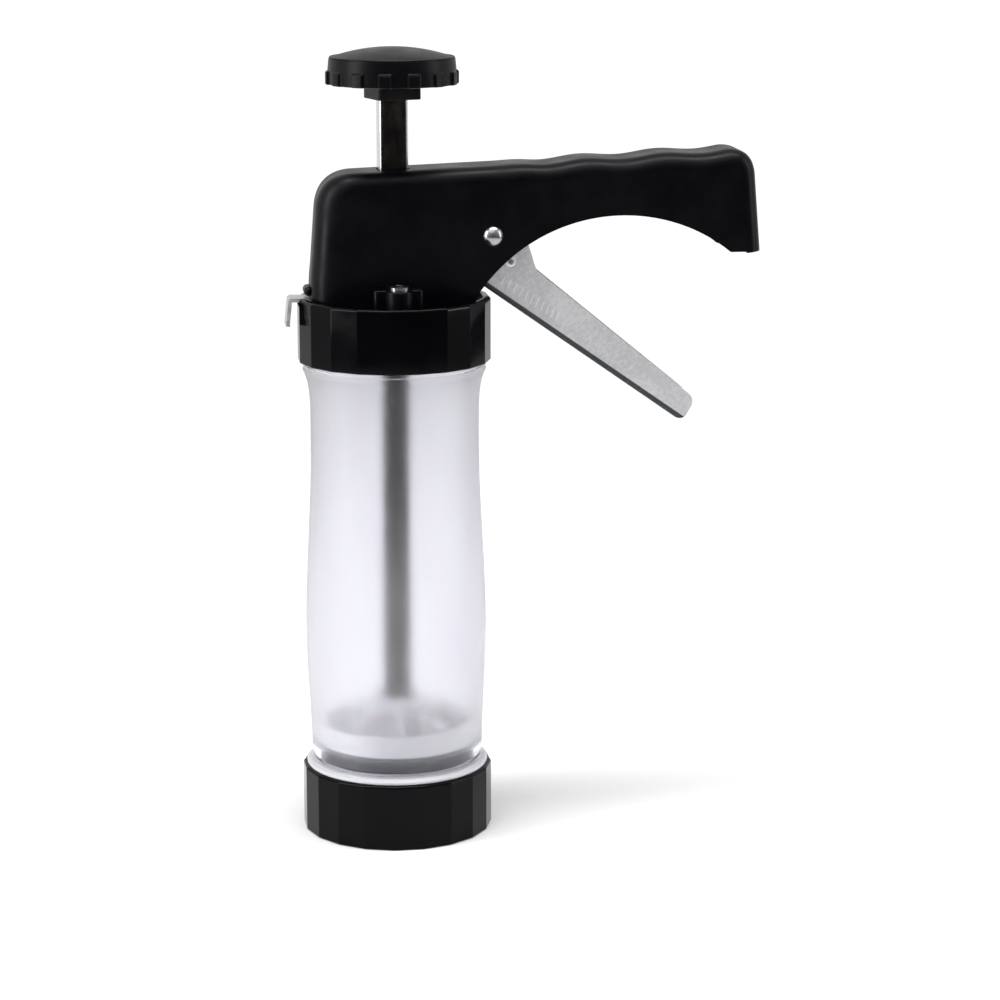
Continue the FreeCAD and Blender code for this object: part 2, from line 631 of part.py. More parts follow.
def pivot_pin():
    """Rivet that the trigger turns on, with a domed head at each end."""
    pin = cross_rod(PIVOT_R, -HEAD_HALF - 0.5, HEAD_HALF + 0.5, PIVOT_X, Z_PIVOT)
    sphere_r = (RIVET_HEAD_R ** 2 + RIVET_HEAD_H ** 2) / (2 * RIVET_HEAD_H)
    for sign in (-1, 1):
        y = sign * (HEAD_HALF + RIVET_HEAD_H - sphere_r)
        ball = Part.makeSphere(sphere_r, Vector(PIVOT_X, y, Z_PIVOT))
        y0 = HEAD_HALF if sign > 0 else -HEAD_HALF - 3
        cap = ball.common(cross_rod(RIVET_HEAD_R + 1, y0, y0 + 3, PIVOT_X, Z_PIVOT))
        pin = pin.fuse(cap)
    return one_solid(pin)


# -------------------------------------------------------- trigger and drive
def trigger():
    """Folded steel channel: two cheeks and the web that the fingers pull."""
    px = PIVOT_X
    pz = Z_PIVOT
    nose = TRIGGER_NOSE_R
    outline = [
        (px + 62.0, pz - 61.9, 2.6),
        (px + 66.3, pz - 54.4, 3.2),
        (px + 14.3, pz - 11.5, 3.0),
        (px + 10.2, pz + 1.5, 4.0),
        (px + 4.5, pz + 8.4, 4.0),
        (px - 5.0, pz + 8.4, 4.0),
        (px - 12.0, NOSE_Z + nose - 0.3, 3.0),
        (NOSE_X, NOSE_Z + nose - 0.3, 0.0),
        (NOSE_X, NOSE_Z - nose + 1.1, 0.0),
        (px - 11.0, NOSE_Z - 0.6, 3.0),
        (px - 5.5, pz - 9.5, 4.0),
        (px - 3.8, pz - 15.9, 3.0),
        (px + 0.1, pz - 18.3, 0.0),
    ]
    half = TRIGGER_WIDTH / 2
    body = slab(rounded_wire(outline), -half, half)
    body = body.fuse(cross_rod(nose, -half, half, NOSE_X, NOSE_Z))
    low_a = Vector(px + 0.1, 0, pz - 18.3)
    low_b = Vector(px + 62.0, 0, pz - 61.9)
    along = (low_b - low_a).normalize()
    up = Vector(-along.z, 0, along.x)
    stock = box(-60, 140, -half, half, 0, 120)
    bends = [e for e in stock.Edges if e.BoundBox.XLength > 100 and e.CenterOfMass.z < 1]
    stock = stock.makeFillet(TRIGGER_BEND_R, bends)
    stock.rotate(ORIGIN, Vector(0, 1, 0), math.degrees(math.atan2(-along.z, along.x)))
    stock.translate(low_a)
    body = body.common(stock)
    inner = half - TRIGGER_SHEET
    start = low_a - along * 3.2 + up * TRIGGER_SHEET
    stop = low_b + along * 20 + up * TRIGGER_SHEET
    room = [start, stop, stop + up * 60, start + up * 60]
    channel = Part.Face(Part.makePolygon(room + [room[0]]))
    channel.translate(Vector(0, -inner, 0))
    channel = channel.extrude(Vector(0, 2 * inner, 0))
    behind = [start - up * 20, start + up * 60, start + up * 60 - along * 60]
    behind.append(start - up * 20 - along * 60)
    arms = Part.Face(Part.makePolygon(behind + [behind[0]]))
    arms.translate(Vector(0, -inner, 0))
    arms = arms.extrude(Vector(0, 2 * inner, 0))
    pivot = cross_rod(PIVOT_R + SLIDE_GAP, -half - 1, half + 1, px, pz)
    eyelet = cross_rod(EYELET_R, -half - 1, half + 1, px + EYELET_DX, pz + EYELET_DZ)
    return one_solid(body.cut([channel, arms, pivot, eyelet]))


def trigger_eyelets():
    """Small eyelet set in each cheek."""
    x = PIVOT_X + EYELET_DX
    z = Z_PIVOT + EYELET_DZ
    half = TRIGGER_WIDTH / 2
    rings = []
    for sign in (-1, 1):
        y0 = half - TRIGGER_SHEET if sign > 0 else -half - EYELET_PROUD
        y1 = y0 + TRIGGER_SHEET + EYELET_PROUD
        ring = cross_rod(EYELET_R, y0, y1, x, z)
        rings.append(ring.cut(cross_rod(EYELET_HOLE_R, y0 - 1, y1 + 1, x, z)))
    return Part.makeCompound([one_solid(r) for r in rings])


def drive_plate():
    """Plate that bites the rod and is pushed down by the trigger's noses."""
    plate = box(DRIVE_BACK_X, DRIVE_FRONT_X, -DRIVE_HALF_WIDTH, DRIVE_HALF_WIDTH, Z_DRIVE, Z_DRIVE_TOP)
    corners = [e for e in plate.Edges if e.BoundBox.ZLength > DRIVE_PLATE - 0.01]
    plate = plate.makeFillet(2.0, corners)
    return one_solid(plate.cut(rod_opening(Z_DRIVE - 1, Z_DRIVE_TOP + 1)))


def drive_spring():
    """Spring round the rod that lifts the drive plate and the trigger."""
    return coil(DRIVE_SPRING_R, DRIVE_WIRE / 2, Z_WEB_TOP, Z_DRIVE, DRIVE_TURNS)


# ----------------------------------------------------------- release lever
def release_lever():
    """Lock plate round the rod with a thumb tab outside the head."""
    z0 = Z_FULCRUM
    z1 = z0 + LEVER_SHEET
    wide = HEAD_BACK_X + HEAD_WALL + 2.4
    plate = box(wide, LEVER_PIVOT_X, -LEVER_HALF_WIDTH, LEVER_HALF_WIDTH, z0, z1)
    half = LEVER_HALF_WIDTH
    nose = cross_rod(LEVER_SHEET / 2, -half, half, LEVER_PIVOT_X, LEVER_PIVOT_Z)
    plate = plate.fuse(nose)
    tab_half = LEVER_TAB_WIDTH / 2
    leg_top = z1 - 1.0
    tab = box(LEVER_TAB_X, wide + 1, -tab_half, tab_half, z0, z1)
    leg = box(LEVER_TAB_X, LEVER_TAB_X + LEVER_SHEET, -tab_half, tab_half, leg_top - LEVER_LEG, z1)
    leg.rotate(Vector(LEVER_TAB_X, 0, z1), Vector(0, 1, 0), 4.0)
    body = plate.fuse([tab, leg]).removeSplitter()
    bend = []
    for edge in body.Edges:
        c = edge.CenterOfMass
        at_corner = abs(c.x - LEVER_TAB_X) < 0.15 and abs(c.z - z1) < 0.15
        if at_corner and edge.BoundBox.YLength > LEVER_TAB_WIDTH - 0.1:
            bend.append(edge)
    if bend:
        body = body.makeFillet(LEVER_SHEET, bend)
    body = body.cut(rod_opening(z0 - 1, z1 + 1))
    body.rotate(Vector(LEVER_PIVOT_X, 0, LEVER_PIVOT_Z), Vector(0, 1, 0), LEVER_TILT)
    return one_solid(body)


def release_spring():
    """Small spring that lifts the lock plate."""
    floor = Z_CAP - POCKET_DEPTH
    reach = LEVER_PIVOT_X - RELEASE_SPRING_X - RELEASE_SPRING_R
    lift = reach * math.tan(math.radians(LEVER_TILT))
    return coil(
        RELEASE_SPRING_R,
        RELEASE_WIRE / 2,
        floor,
        Z_FULCRUM + lift - 0.05,
        RELEASE_TURNS,
        RELEASE_SPRING_X,
    )


# ----------------------------------------------------------------- plunger
def push_rod():
    """Folded steel channel with a drilled tab at each end."""
    half_x = ROD_WIDTH / 2
    half_y = ROD_DEPTH / 2
    body = box(-half_x, half_x, -half_y, half_y, Z_ROD, Z_ROD_TOP)
    front = [e for e in body.Edges if e.BoundBox.ZLength > ROD_LENGTH - 1]
    front = [e for e in front if e.CenterOfMass.y < 0]
    body = body.makeFillet(ROD_BEND_R, front)
    inner_x = half_x - ROD_SHEET
    hollow = box(-inner_x, inner_x, -half_y + ROD_SHEET, half_y + 1, Z_ROD + END_TAB, Z_ROD_TOP - END_TAB)
    inside = [e for e in hollow.Edges if e.BoundBox.ZLength > 100 and e.CenterOfMass.y < 0]
    hollow = hollow.makeFillet(ROD_BEND_R - ROD_SHEET, inside)
    body = body.cut(hollow)
    holes = [rod(SCREW_R, Z_ROD - 1, Z_ROD + END_TAB + 1)]
    holes.append(rod(SCREW_R, Z_ROD_TOP - END_TAB - 1, Z_ROD_TOP + 1))
    return one_solid(body.cut(holes))


def piston_base():
    """White plate that clamps the seal from below."""
    z0 = Z_SEAL - PISTON_BASE
    inner = SEAL_R - SEAL_WIDTH
    plate = rod(PISTON_R, z0, Z_SEAL)
    spigot = rod(inner - 0.05, Z_SEAL - 0.5, Z_SEAL + 1.5)
    plate = plate.fuse(spigot)
    cuts = [rod(SCREW_R, z0 - 1, Z_SEAL + 3)]
    cuts.append(rod(SCREW_HEAD_R + 0.2, z0 - 1, z0 + SCREW_HEAD_HEIGHT))
    return one_solid(plate.cut(cuts))


def piston_seal():
    """Grey soft ring that wipes the bore."""
    inner = SEAL_R - SEAL_WIDTH
    ring = turned([
        (inner, Z_SEAL),
        (SEAL_R - 0.5, Z_SEAL),
        (SEAL_R, Z_SEAL + 0.5),
        (SEAL_R, Z_SEAL_TOP - 0.5),
        (SEAL_R - 0.5, Z_SEAL_TOP),
        (inner, Z_SEAL_TOP),
    ])
    return one_solid(ring)


def piston_top():
    """White cup of the piston with its ribs and the rod's square socket."""
    inner = SEAL_R - SEAL_WIDTH - 0.05
    core = rod(inner, Z_SEAL + 1.5, Z_SEAL_TOP)
    flange_top = Z_SEAL_TOP + PISTON_FLANGE
    flange = rod(PISTON_R, Z_SEAL_TOP, flange_top)
    wall = rod(PISTON_R, Z_SEAL_TOP, Z_SEAL_TOP + PISTON_CUP_HEIGHT)
    wall = wall.cut(rod(PISTON_R - PISTON_CUP_WALL, Z_SEAL_TOP - 1, Z_SEAL_TOP + PISTON_CUP_HEIGHT + 1))
    half = HUB_SIDE / 2
    hub_top = Z_SEAL_TOP + HUB_TOP_ABOVE_SEAL
    hub = box(-half, half, -half, half, Z_SEAL_TOP, hub_top)
    parts = [flange, wall, hub]
    for k in range(PISTON_RIBS):
        reach = PISTON_R - PISTON_CUP_WALL / 2
        low = Z_SEAL_TOP + 1.0
        corners = [
            Vector(half - 1.0, -PISTON_RIB / 2, low),
            Vector(reach, -PISTON_RIB / 2, low),
            Vector(reach, -PISTON_RIB / 2, Z_SEAL_TOP + PISTON_CUP_HEIGHT - 0.8),
            Vector(half - 1.0, -PISTON_RIB / 2, hub_top - 2.0),
        ]
        fin = Part.Face(Part.makePolygon(corners + [corners[0]])).extrude(Vector(0, PISTON_RIB, 0))
        fin.rotate(ORIGIN, UP, 360.0 * k / PISTON_RIBS)
        parts.append(fin)
    body = core.fuse(parts)
    half_x = ROD_WIDTH / 2
    half_y = ROD_DEPTH / 2
    socket = box(-half_x, half_x, -half_y, half_y, Z_ROD, hub_top + 1)
    cuts = [socket, rod(SCREW_R, Z_SEAL, Z_ROD + 1)]
    return one_solid(body.cut(cuts))


def piston_screw():
    """Screw through the piston's base into the rod's lower tab."""
    z0 = Z_SEAL - PISTON_BASE
    head = rod(SCREW_HEAD_R, z0, z0 + SCREW_HEAD_HEIGHT)
    shank = rod(SCREW_R, z0 + SCREW_HEAD_HEIGHT - 0.2, Z_ROD + END_TAB + 1.2)
    screw = head.fuse(shank)
    slot = box(-SCREW_HEAD_R - 1, SCREW_HEAD_R + 1, -0.4, 0.4, z0 - 1, z0 + 0.7)
    return one_solid(screw.cut(slot))


def knob_body():
    """Ribbed skirt, web and square hub of the push knob."""
    z_web = Z_ROD_TOP
    skirt = rod(KNOB_R, Z_KNOB, Z_KNOB_TOP)
    skirt = skirt.cut(rod(KNOB_R - KNOB_WALL, Z_KNOB - 1, Z_KNOB_TOP + 1))
    web = rod(KNOB_R - KNOB_WALL / 2, z_web, z_web + KNOB_WEB)
    band = rod(KNOB_LUG_R, Z_KNOB, Z_KNOB + KNOB_LUG_HEIGHT)
    band = band.cut(rod(KNOB_R - 0.5, Z_KNOB - 1, Z_KNOB + KNOB_LUG_HEIGHT + 1))
    spokes = []
    for k in range(KNOB_LUGS):
        spoke = box(KNOB_R - 2, KNOB_LUG_R + 2, -KNOB_LUG_WIDTH / 2, KNOB_LUG_WIDTH / 2, Z_KNOB - 1, Z_KNOB_TOP)
        spoke.rotate(ORIGIN, UP, KNOB_LUG_PHASE - 90.0 + 360.0 * k / KNOB_LUGS)
        spokes.append(spoke)
    lugs = band.common(Part.makeCompound(spokes))
    half = KNOB_HUB_SIDE / 2
    hub = box(-half, half, -half, half, Z_KNOB - KNOB_HUB_DROP, z_web + 0.5)
    upright = [e for e in hub.Edges if e.BoundBox.ZLength > 1]
    hub = hub.makeFillet(1.2, upright)
    hub.rotate(ORIGIN, UP, KNOB_TURN)
    body = skirt.fuse([web, hub] + lugs.Solids)
    half_x = ROD_WIDTH / 2
    half_y = ROD_DEPTH / 2
    socket = box(-half_x, half_x, -half_y, half_y, Z_KNOB - KNOB_HUB_DROP - 1, z_web)
    cuts = [socket, rod(SCREW_R, z_web - 1, z_web + KNOB_WEB + 1)]
    return one_solid(body.cut(cuts))


def knob_cap():
    """Domed cover pressed in the top of the knob."""
    sphere_r = (KNOB_R ** 2 + KNOB_DOME_HEIGHT ** 2) / (2 * KNOB_DOME_HEIGHT)
    centre = Z_KNOB_TOP + KNOB_DOME_HEIGHT - sphere_r
    ball = Part.makeSphere(sphere_r, Vector(0, 0, centre))
    dome = ball.common(rod(KNOB_R - 0.15, Z_KNOB_TOP, Z_KNOB_TOP + KNOB_DOME_HEIGHT + 2))
    inner = Part.makeSphere(sphere_r - KNOB_CAP_T, Vector(0, 0, centre))
    dome = dome.cut(inner.common(rod(KNOB_R - KNOB_WALL - 1.0, Z_KNOB_TOP - 1, Z_KNOB_TOP + 9)))
    spigot = rod(KNOB_R - KNOB_WALL - 0.1, Z_KNOB_TOP - 0.9, Z_KNOB_TOP + 0.3)
    spigot = spigot.cut(rod(KNOB_R - KNOB_WALL - 1.4, Z_KNOB_TOP - 2, Z_KNOB_TOP + 1))
    return one_solid(dome.fuse(spigot))


def knob_screw():
    """Screw through the knob's web into the rod's upper tab."""
    z_head = Z_ROD_TOP + KNOB_WEB
    head = rod(SCREW_HEAD_R, z_head, z_head + SCREW_HEAD_HEIGHT)
    shank = rod(SCREW_R, Z_ROD_TOP - END_TAB - 1.5, z_head + 0.2)
    screw = head.fuse(shank)
    slot = box(-SCREW_HEAD_R - 1, SCREW_HEAD_R + 1, -0.4, 0.4, z_head + 0.6, z_head + 3)
    return one_solid(screw.cut(slot))


PIECES = {
    "base_ring": base_ring,
    "shaping_disc": shaping_disc,
    "barrel": barrel,
    "top_gasket": top_gasket,
    "top_collar": top_collar,
    "collar_screws": collar_screws,
    "head_housing": head_housing,
    "pivot_pin": pivot_pin,
    "trigger": trigger,
    "trigger_eyelets": trigger_eyelets,
    "drive_plate": drive_plate,
    "drive_spring": drive_spring,
    "release_lever": release_lever,
    "release_spring": release_spring,
    "push_rod": push_rod,
    "piston_base": piston_base,
    "piston_seal": piston_seal,
    "piston_top": piston_top,
    "piston_screw": piston_screw,
    "knob_body": knob_body,
    "knob_cap": knob_cap,
    "knob_screw": knob_screw,
}


def main():
    """Build every piece and write its STEP file."""
    os.makedirs("parts", exist_ok=True)
    for name, make in PIECES.items():
        shape = make()
        bb = shape.BoundBox
        print("%-16s solids %d valid %s vol %9.1f  x %.1f..%.1f y %.1f..%.1f z %.1f..%.1f" % (
            name, len(shape.Solids), shape.isValid(), shape.Volume,
            bb.XMin, bb.XMax, bb.YMin, bb.YMax, bb.ZMin, bb.ZMax))
        shape.exportStep("parts/" + name + ".step")


main()
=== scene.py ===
"""Looks of a hand-squeezed cookie press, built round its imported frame.

The frame holds every part at its real place and size. This script gives each part its finish, and
replaces the moulded, turned and blown parts with smooth surfaces that are worked out with numpy.
Sizes inside the classes are in millimetres, in the frame's own axes, and a skin is turned into
metres once, when its mesh is made.
"""

import logging
import math
from dataclasses import dataclass, field
from enum import Enum
from typing import Any, Sequence

import bmesh
import bpy
import numpy as np
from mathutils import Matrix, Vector
from numpy.typing import NDArray


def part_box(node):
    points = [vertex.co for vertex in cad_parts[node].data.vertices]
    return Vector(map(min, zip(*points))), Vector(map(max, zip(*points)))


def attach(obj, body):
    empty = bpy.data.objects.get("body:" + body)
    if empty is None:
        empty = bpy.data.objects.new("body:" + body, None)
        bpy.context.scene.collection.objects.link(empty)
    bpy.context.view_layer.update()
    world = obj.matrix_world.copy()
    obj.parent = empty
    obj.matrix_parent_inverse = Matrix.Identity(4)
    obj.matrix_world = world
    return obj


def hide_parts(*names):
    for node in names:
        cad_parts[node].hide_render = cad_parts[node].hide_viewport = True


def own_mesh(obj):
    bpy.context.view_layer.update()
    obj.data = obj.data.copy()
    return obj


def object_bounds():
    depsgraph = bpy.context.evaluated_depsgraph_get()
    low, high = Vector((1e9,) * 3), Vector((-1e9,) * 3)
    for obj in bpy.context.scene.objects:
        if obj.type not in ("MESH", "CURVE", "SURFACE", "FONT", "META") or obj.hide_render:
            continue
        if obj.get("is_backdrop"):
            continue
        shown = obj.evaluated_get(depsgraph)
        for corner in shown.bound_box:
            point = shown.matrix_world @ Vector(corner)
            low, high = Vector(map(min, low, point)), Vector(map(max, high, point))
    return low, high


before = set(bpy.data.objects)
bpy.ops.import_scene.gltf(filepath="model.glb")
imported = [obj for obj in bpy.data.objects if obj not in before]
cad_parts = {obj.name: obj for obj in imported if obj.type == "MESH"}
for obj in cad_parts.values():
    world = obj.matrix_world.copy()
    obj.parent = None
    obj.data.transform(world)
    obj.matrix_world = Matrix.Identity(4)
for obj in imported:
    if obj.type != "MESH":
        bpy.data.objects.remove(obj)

LOG = logging.getLogger("cookie_press")
MM = 0.001
TURN = 2.0 * math.pi
Grid = NDArray[np.float64]
Colour = tuple[float, float, float]
Span = tuple[float, float]
Socket = bpy.types.NodeSocket


class Body(str, Enum):
    """Moving bodies of the press."""

    HEAD = "head"
    TRIGGER = "trigger"
    PLUNGER = "plunger"
    BARREL = "barrel"
    RING = "ring"


class Slot(str, Enum):
    """Material slots of the record that the new pieces take their finish from."""

    BLACK = "black_plastic"
    CLEAR = "clear_plastic"
    STEEL = "steel_sheet"
    SPRING = "spring_steel"
    BRIGHT = "bright_steel"


def node_box(name: str) -> tuple[Grid, Grid]:
    """Lowest and highest corner of a node of the frame.

    Args:
        name: the node's name.

    Returns:
        The two corners in millimetres.
    """
    low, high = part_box(name)
    return np.array(low) / MM, np.array(high) / MM


# --------------------------------------------------------------------------- surfaces
@dataclass
class Skin:
    """A mesh gathered from grids of points, in millimetres."""

    name: str
    grids: list[Grid] = field(default_factory=list)
    quads: list[NDArray[np.int64]] = field(default_factory=list)
    count: int = 0

    def add(self, grid: Grid, wrap_rows: bool = False, wrap_columns: bool = False) -> None:
        """Add one grid of points and the four-cornered faces between them.

        Args:
            grid: points, rows by columns by three.
            wrap_rows: join the last row to the first.
            wrap_columns: join the last column to the first.
        """
        rows, columns = grid.shape[:2]
        index = np.arange(rows * columns).reshape(rows, columns) + self.count
        if wrap_rows:
            index = np.vstack([index, index[:1]])
        if wrap_columns:
            index = np.hstack([index, index[:, :1]])
        corners = [index[:-1, :-1], index[1:, :-1], index[1:, 1:], index[:-1, 1:]]
        self.quads.append(np.stack(corners, axis=-1).reshape(-1, 4))
        self.grids.append(grid.reshape(-1, 3))
        self.count += rows * columns

    def build(self, crease: float = 32.0) -> bpy.types.Object:
        """Make the object, weld its seams and poles, and turn its faces outwards.

        Args:
            crease: edges sharper than this many degrees stay crisp.

        Returns:
            The new object, at the origin, with its place in its mesh.
        """
        mesh = bpy.data.meshes.new(self.name)
        points = np.concatenate(self.grids) * MM
        mesh.from_pydata(points.tolist(), [], np.concatenate(self.quads).tolist())
        shape = bmesh.new()
        shape.from_mesh(mesh)
        bmesh.ops.remove_doubles(shape, verts=shape.verts, dist=0.002 * MM)
        bmesh.ops.dissolve_degenerate(shape, edges=shape.edges, dist=0.001 * MM)
        bmesh.ops.recalc_face_normals(shape, faces=shape.faces)
        shape.to_mesh(mesh)
        shape.free()
        mesh.shade_smooth()
        mesh.set_sharp_from_angle(angle=math.radians(crease))
        piece = bpy.data.objects.new(self.name, mesh)
        bpy.context.scene.collection.objects.link(piece)
        return piece


def smooth_step(value: Grid, low: float, high: float) -> Grid:
    """Ramp from 0 at low to 1 at high: 3 t squared minus 2 t cubed, with t clipped to 0..1.

    Args:
        value: places to weigh.
        low: where the ramp starts.
        high: where it ends.

    Returns:
        One share from 0 to 1 for each place.
    """
    share = np.clip((value - low) / (high - low), 0.0, 1.0)
    return share * share * (3.0 - 2.0 * share)


def eased(points: Sequence[Sequence[float]], reach: Sequence[float], steps: int = 6) -> Grid:
    """Closed outline whose corners are blended by quadratic curves.

    A corner P between neighbours A and B becomes (1-s)^2 S + 2 s (1-s) P + s^2 E, where S and E
    lie the corner's reach from P towards A and B, and s runs from 0 to 1.

    Args:
        points: corners of the outline, in order.
        reach: how far each corner's blend reaches along its two sides.
        steps: points along each blend.

    Returns:
        Points of the outline, corners times steps by two.
    """
    corner = np.asarray(points, float)
    back = np.roll(corner, 1, axis=0) - corner
    ahead = np.roll(corner, -1, axis=0) - corner
    back_length = np.linalg.norm(back, axis=1, keepdims=True)
    ahead_length = np.linalg.norm(ahead, axis=1, keepdims=True)
    wanted = np.asarray(reach, float)[:, None]
    start = corner + back / back_length * np.minimum(wanted, 0.49 * back_length)
    end = corner + ahead / ahead_length * np.minimum(wanted, 0.49 * ahead_length)
    s = np.linspace(0.0, 1.0, steps)[None, :, None]
    blend = (1 - s) ** 2 * start[:, None] + 2 * s * (1 - s) * corner[:, None] + s**2 * end[:, None]
    return blend.reshape(-1, 2)


def around(count: int) -> Grid:
    """Angles of evenly spaced columns round the Z axis, in radians."""
    return np.arange(count) * (TURN / count)


def turned(radius: Grid, height: Grid, angles: Grid) -> Grid:
    """Surface of a radius and a height carried round Z: x = r cos a, y = r sin a, z = height.

    Args:
        radius: rows, or rows by columns.
        height: rows, or rows by columns.
        angles: angle of each column.

    Returns:
        Grid of points, rows by columns by three.
    """
    shape = (len(height), len(angles))
    full = np.broadcast_to(radius if radius.ndim == 2 else radius[:, None], shape)
    level = np.broadcast_to(height if height.ndim == 2 else height[:, None], shape)
    return np.stack([full * np.cos(angles), full * np.sin(angles), level], axis=-1)


def rounded_square(angles: Grid, half_x: float, half_y: float, power: float) -> Grid:
    """Radius of a superellipse: (|cos a / hx|^p + |sin a / hy|^p) to the power -1/p.

    Args:
        angles: angle of each column.
        half_x: half its size along X.
        half_y: half its size along Y.
        power: the higher it is, the squarer the corners.

    Returns:
        One radius for each angle.
    """
    across = np.abs(np.cos(angles) / half_x) ** power
    along = np.abs(np.sin(angles) / half_y) ** power
    return (across + along) ** (-1.0 / power)


def thread_ridge(
    root: float, crest: float, foot_z: float, turns: float, pitch: float = 4.0
) -> Grid:
    """Helical ridge of a trapezoid section that rises one pitch a turn.

    Each row is one angle of the helix and holds the section's four corners. The crest starts and
    ends by rising out of the root over the first and last tenth of a turn.

    Args:
        root: radius where the ridge stands, sunk a little in its wall.
        crest: radius of its top.
        foot_z: height of its middle where it starts.
        turns: its length in turns.
        pitch: rise a turn.

    Returns:
        Grid of points, rows by four by three.
    """
    rows = int(turns * 96)
    sweep = np.linspace(0.0, turns, rows)
    share = smooth_step(sweep, 0.0, 0.1) * smooth_step(turns - sweep, 0.0, 0.1)
    top = root + (crest - root) * share
    radius = np.stack([np.full(rows, root), top, top, np.full(rows, root)], axis=1)
    offset = np.array([-1.1, -0.55, 0.55, 1.1])[None, :] * (0.05 + 0.95 * share[:, None])
    level = foot_z + pitch * sweep[:, None] + offset
    angle = (sweep * TURN)[:, None]
    return np.stack([radius * np.cos(angle), radius * np.sin(angle), level], axis=-1)


def upright(outline: Grid, low: float, high: float, ease: float) -> Grid:
    """Standing block on a closed outline, with its upper rim eased by a quarter round.

    Rows climb from the middle of the foot, up the side, over the quarter round and in to the
    middle of the top. Each row of the round is the outline drawn in by ease (1 - cos t) and
    raised by ease sin t.

    Args:
        outline: closed outline, points by two.
        low: height of the foot.
        high: height of the top.
        ease: radius of the rim.

    Returns:
        Grid of points, rows by points by three.
    """
    middle = (outline.max(axis=0) + outline.min(axis=0)) / 2
    half = (outline.max(axis=0) - outline.min(axis=0)) / 2
    round_ = np.linspace(0.0, math.pi / 2, 6)
    inset = np.concatenate([[0.0], ease * (1 - np.cos(round_))])
    level = np.concatenate([[low], high - ease + ease * np.sin(round_)])
    scale = 1 - inset[:, None] / half[None, :]
    rows = middle + (outline - middle)[None] * scale[:, None, :]
    heights = np.broadcast_to(level[:, None, None], rows.shape[:2] + (1,))
    side = np.concatenate([rows, heights], axis=2)
    foot = np.broadcast_to(np.array([*middle, low]), side[:1].shape)
    top = np.broadcast_to(np.array([*middle, high]), side[:1].shape)
    return np.concatenate([foot, side, top])


def rectangle(low: Sequence[float], high: Sequence[float], steps: int = 8) -> Grid:
    """Points round a rectangle, the same number on each side, so two of them can be joined.

    Args:
        low: its lowest corner.
        high: its highest corner.
        steps: points on each side.

    Returns:
        Points of the outline, in order.
    """
    t = np.linspace(0.0, 1.0, steps, endpoint=False)
    corners = np.array([[low[0], low[1]], [high[0], low[1]], [high[0], high[1]], [low[0], high[1]]])
    following = np.roll(corners, -1, axis=0)
    walk = corners[:, None] + (following - corners)[:, None] * t[None, :, None]
    return walk.reshape(-1, 2)


def holed_plate(outer: Grid, inner: Grid, low: float, high: float) -> Grid:
    """Flat plate between two outlines of equal count: four rows, joined in a loop.

    Args:
        outer: outline of its edge.
        inner: outline of its hole.
        low: height of its underside.
        high: height of its top.

    Returns:
        Grid of points, four rows by points by three.
    """
    rows = [(outer, high), (outer, low), (inner, low), (inner, high)]
    return np.stack([np.column_stack([path, np.full(len(path), z)]) for path, z in rows])


# --------------------------------------------------------------------------- finishes
# The whole range of a share, and the range that most of a noise lies in.
WHOLE: Span = (0.0, 1.0)
USUAL: Span = (0.3, 0.7)


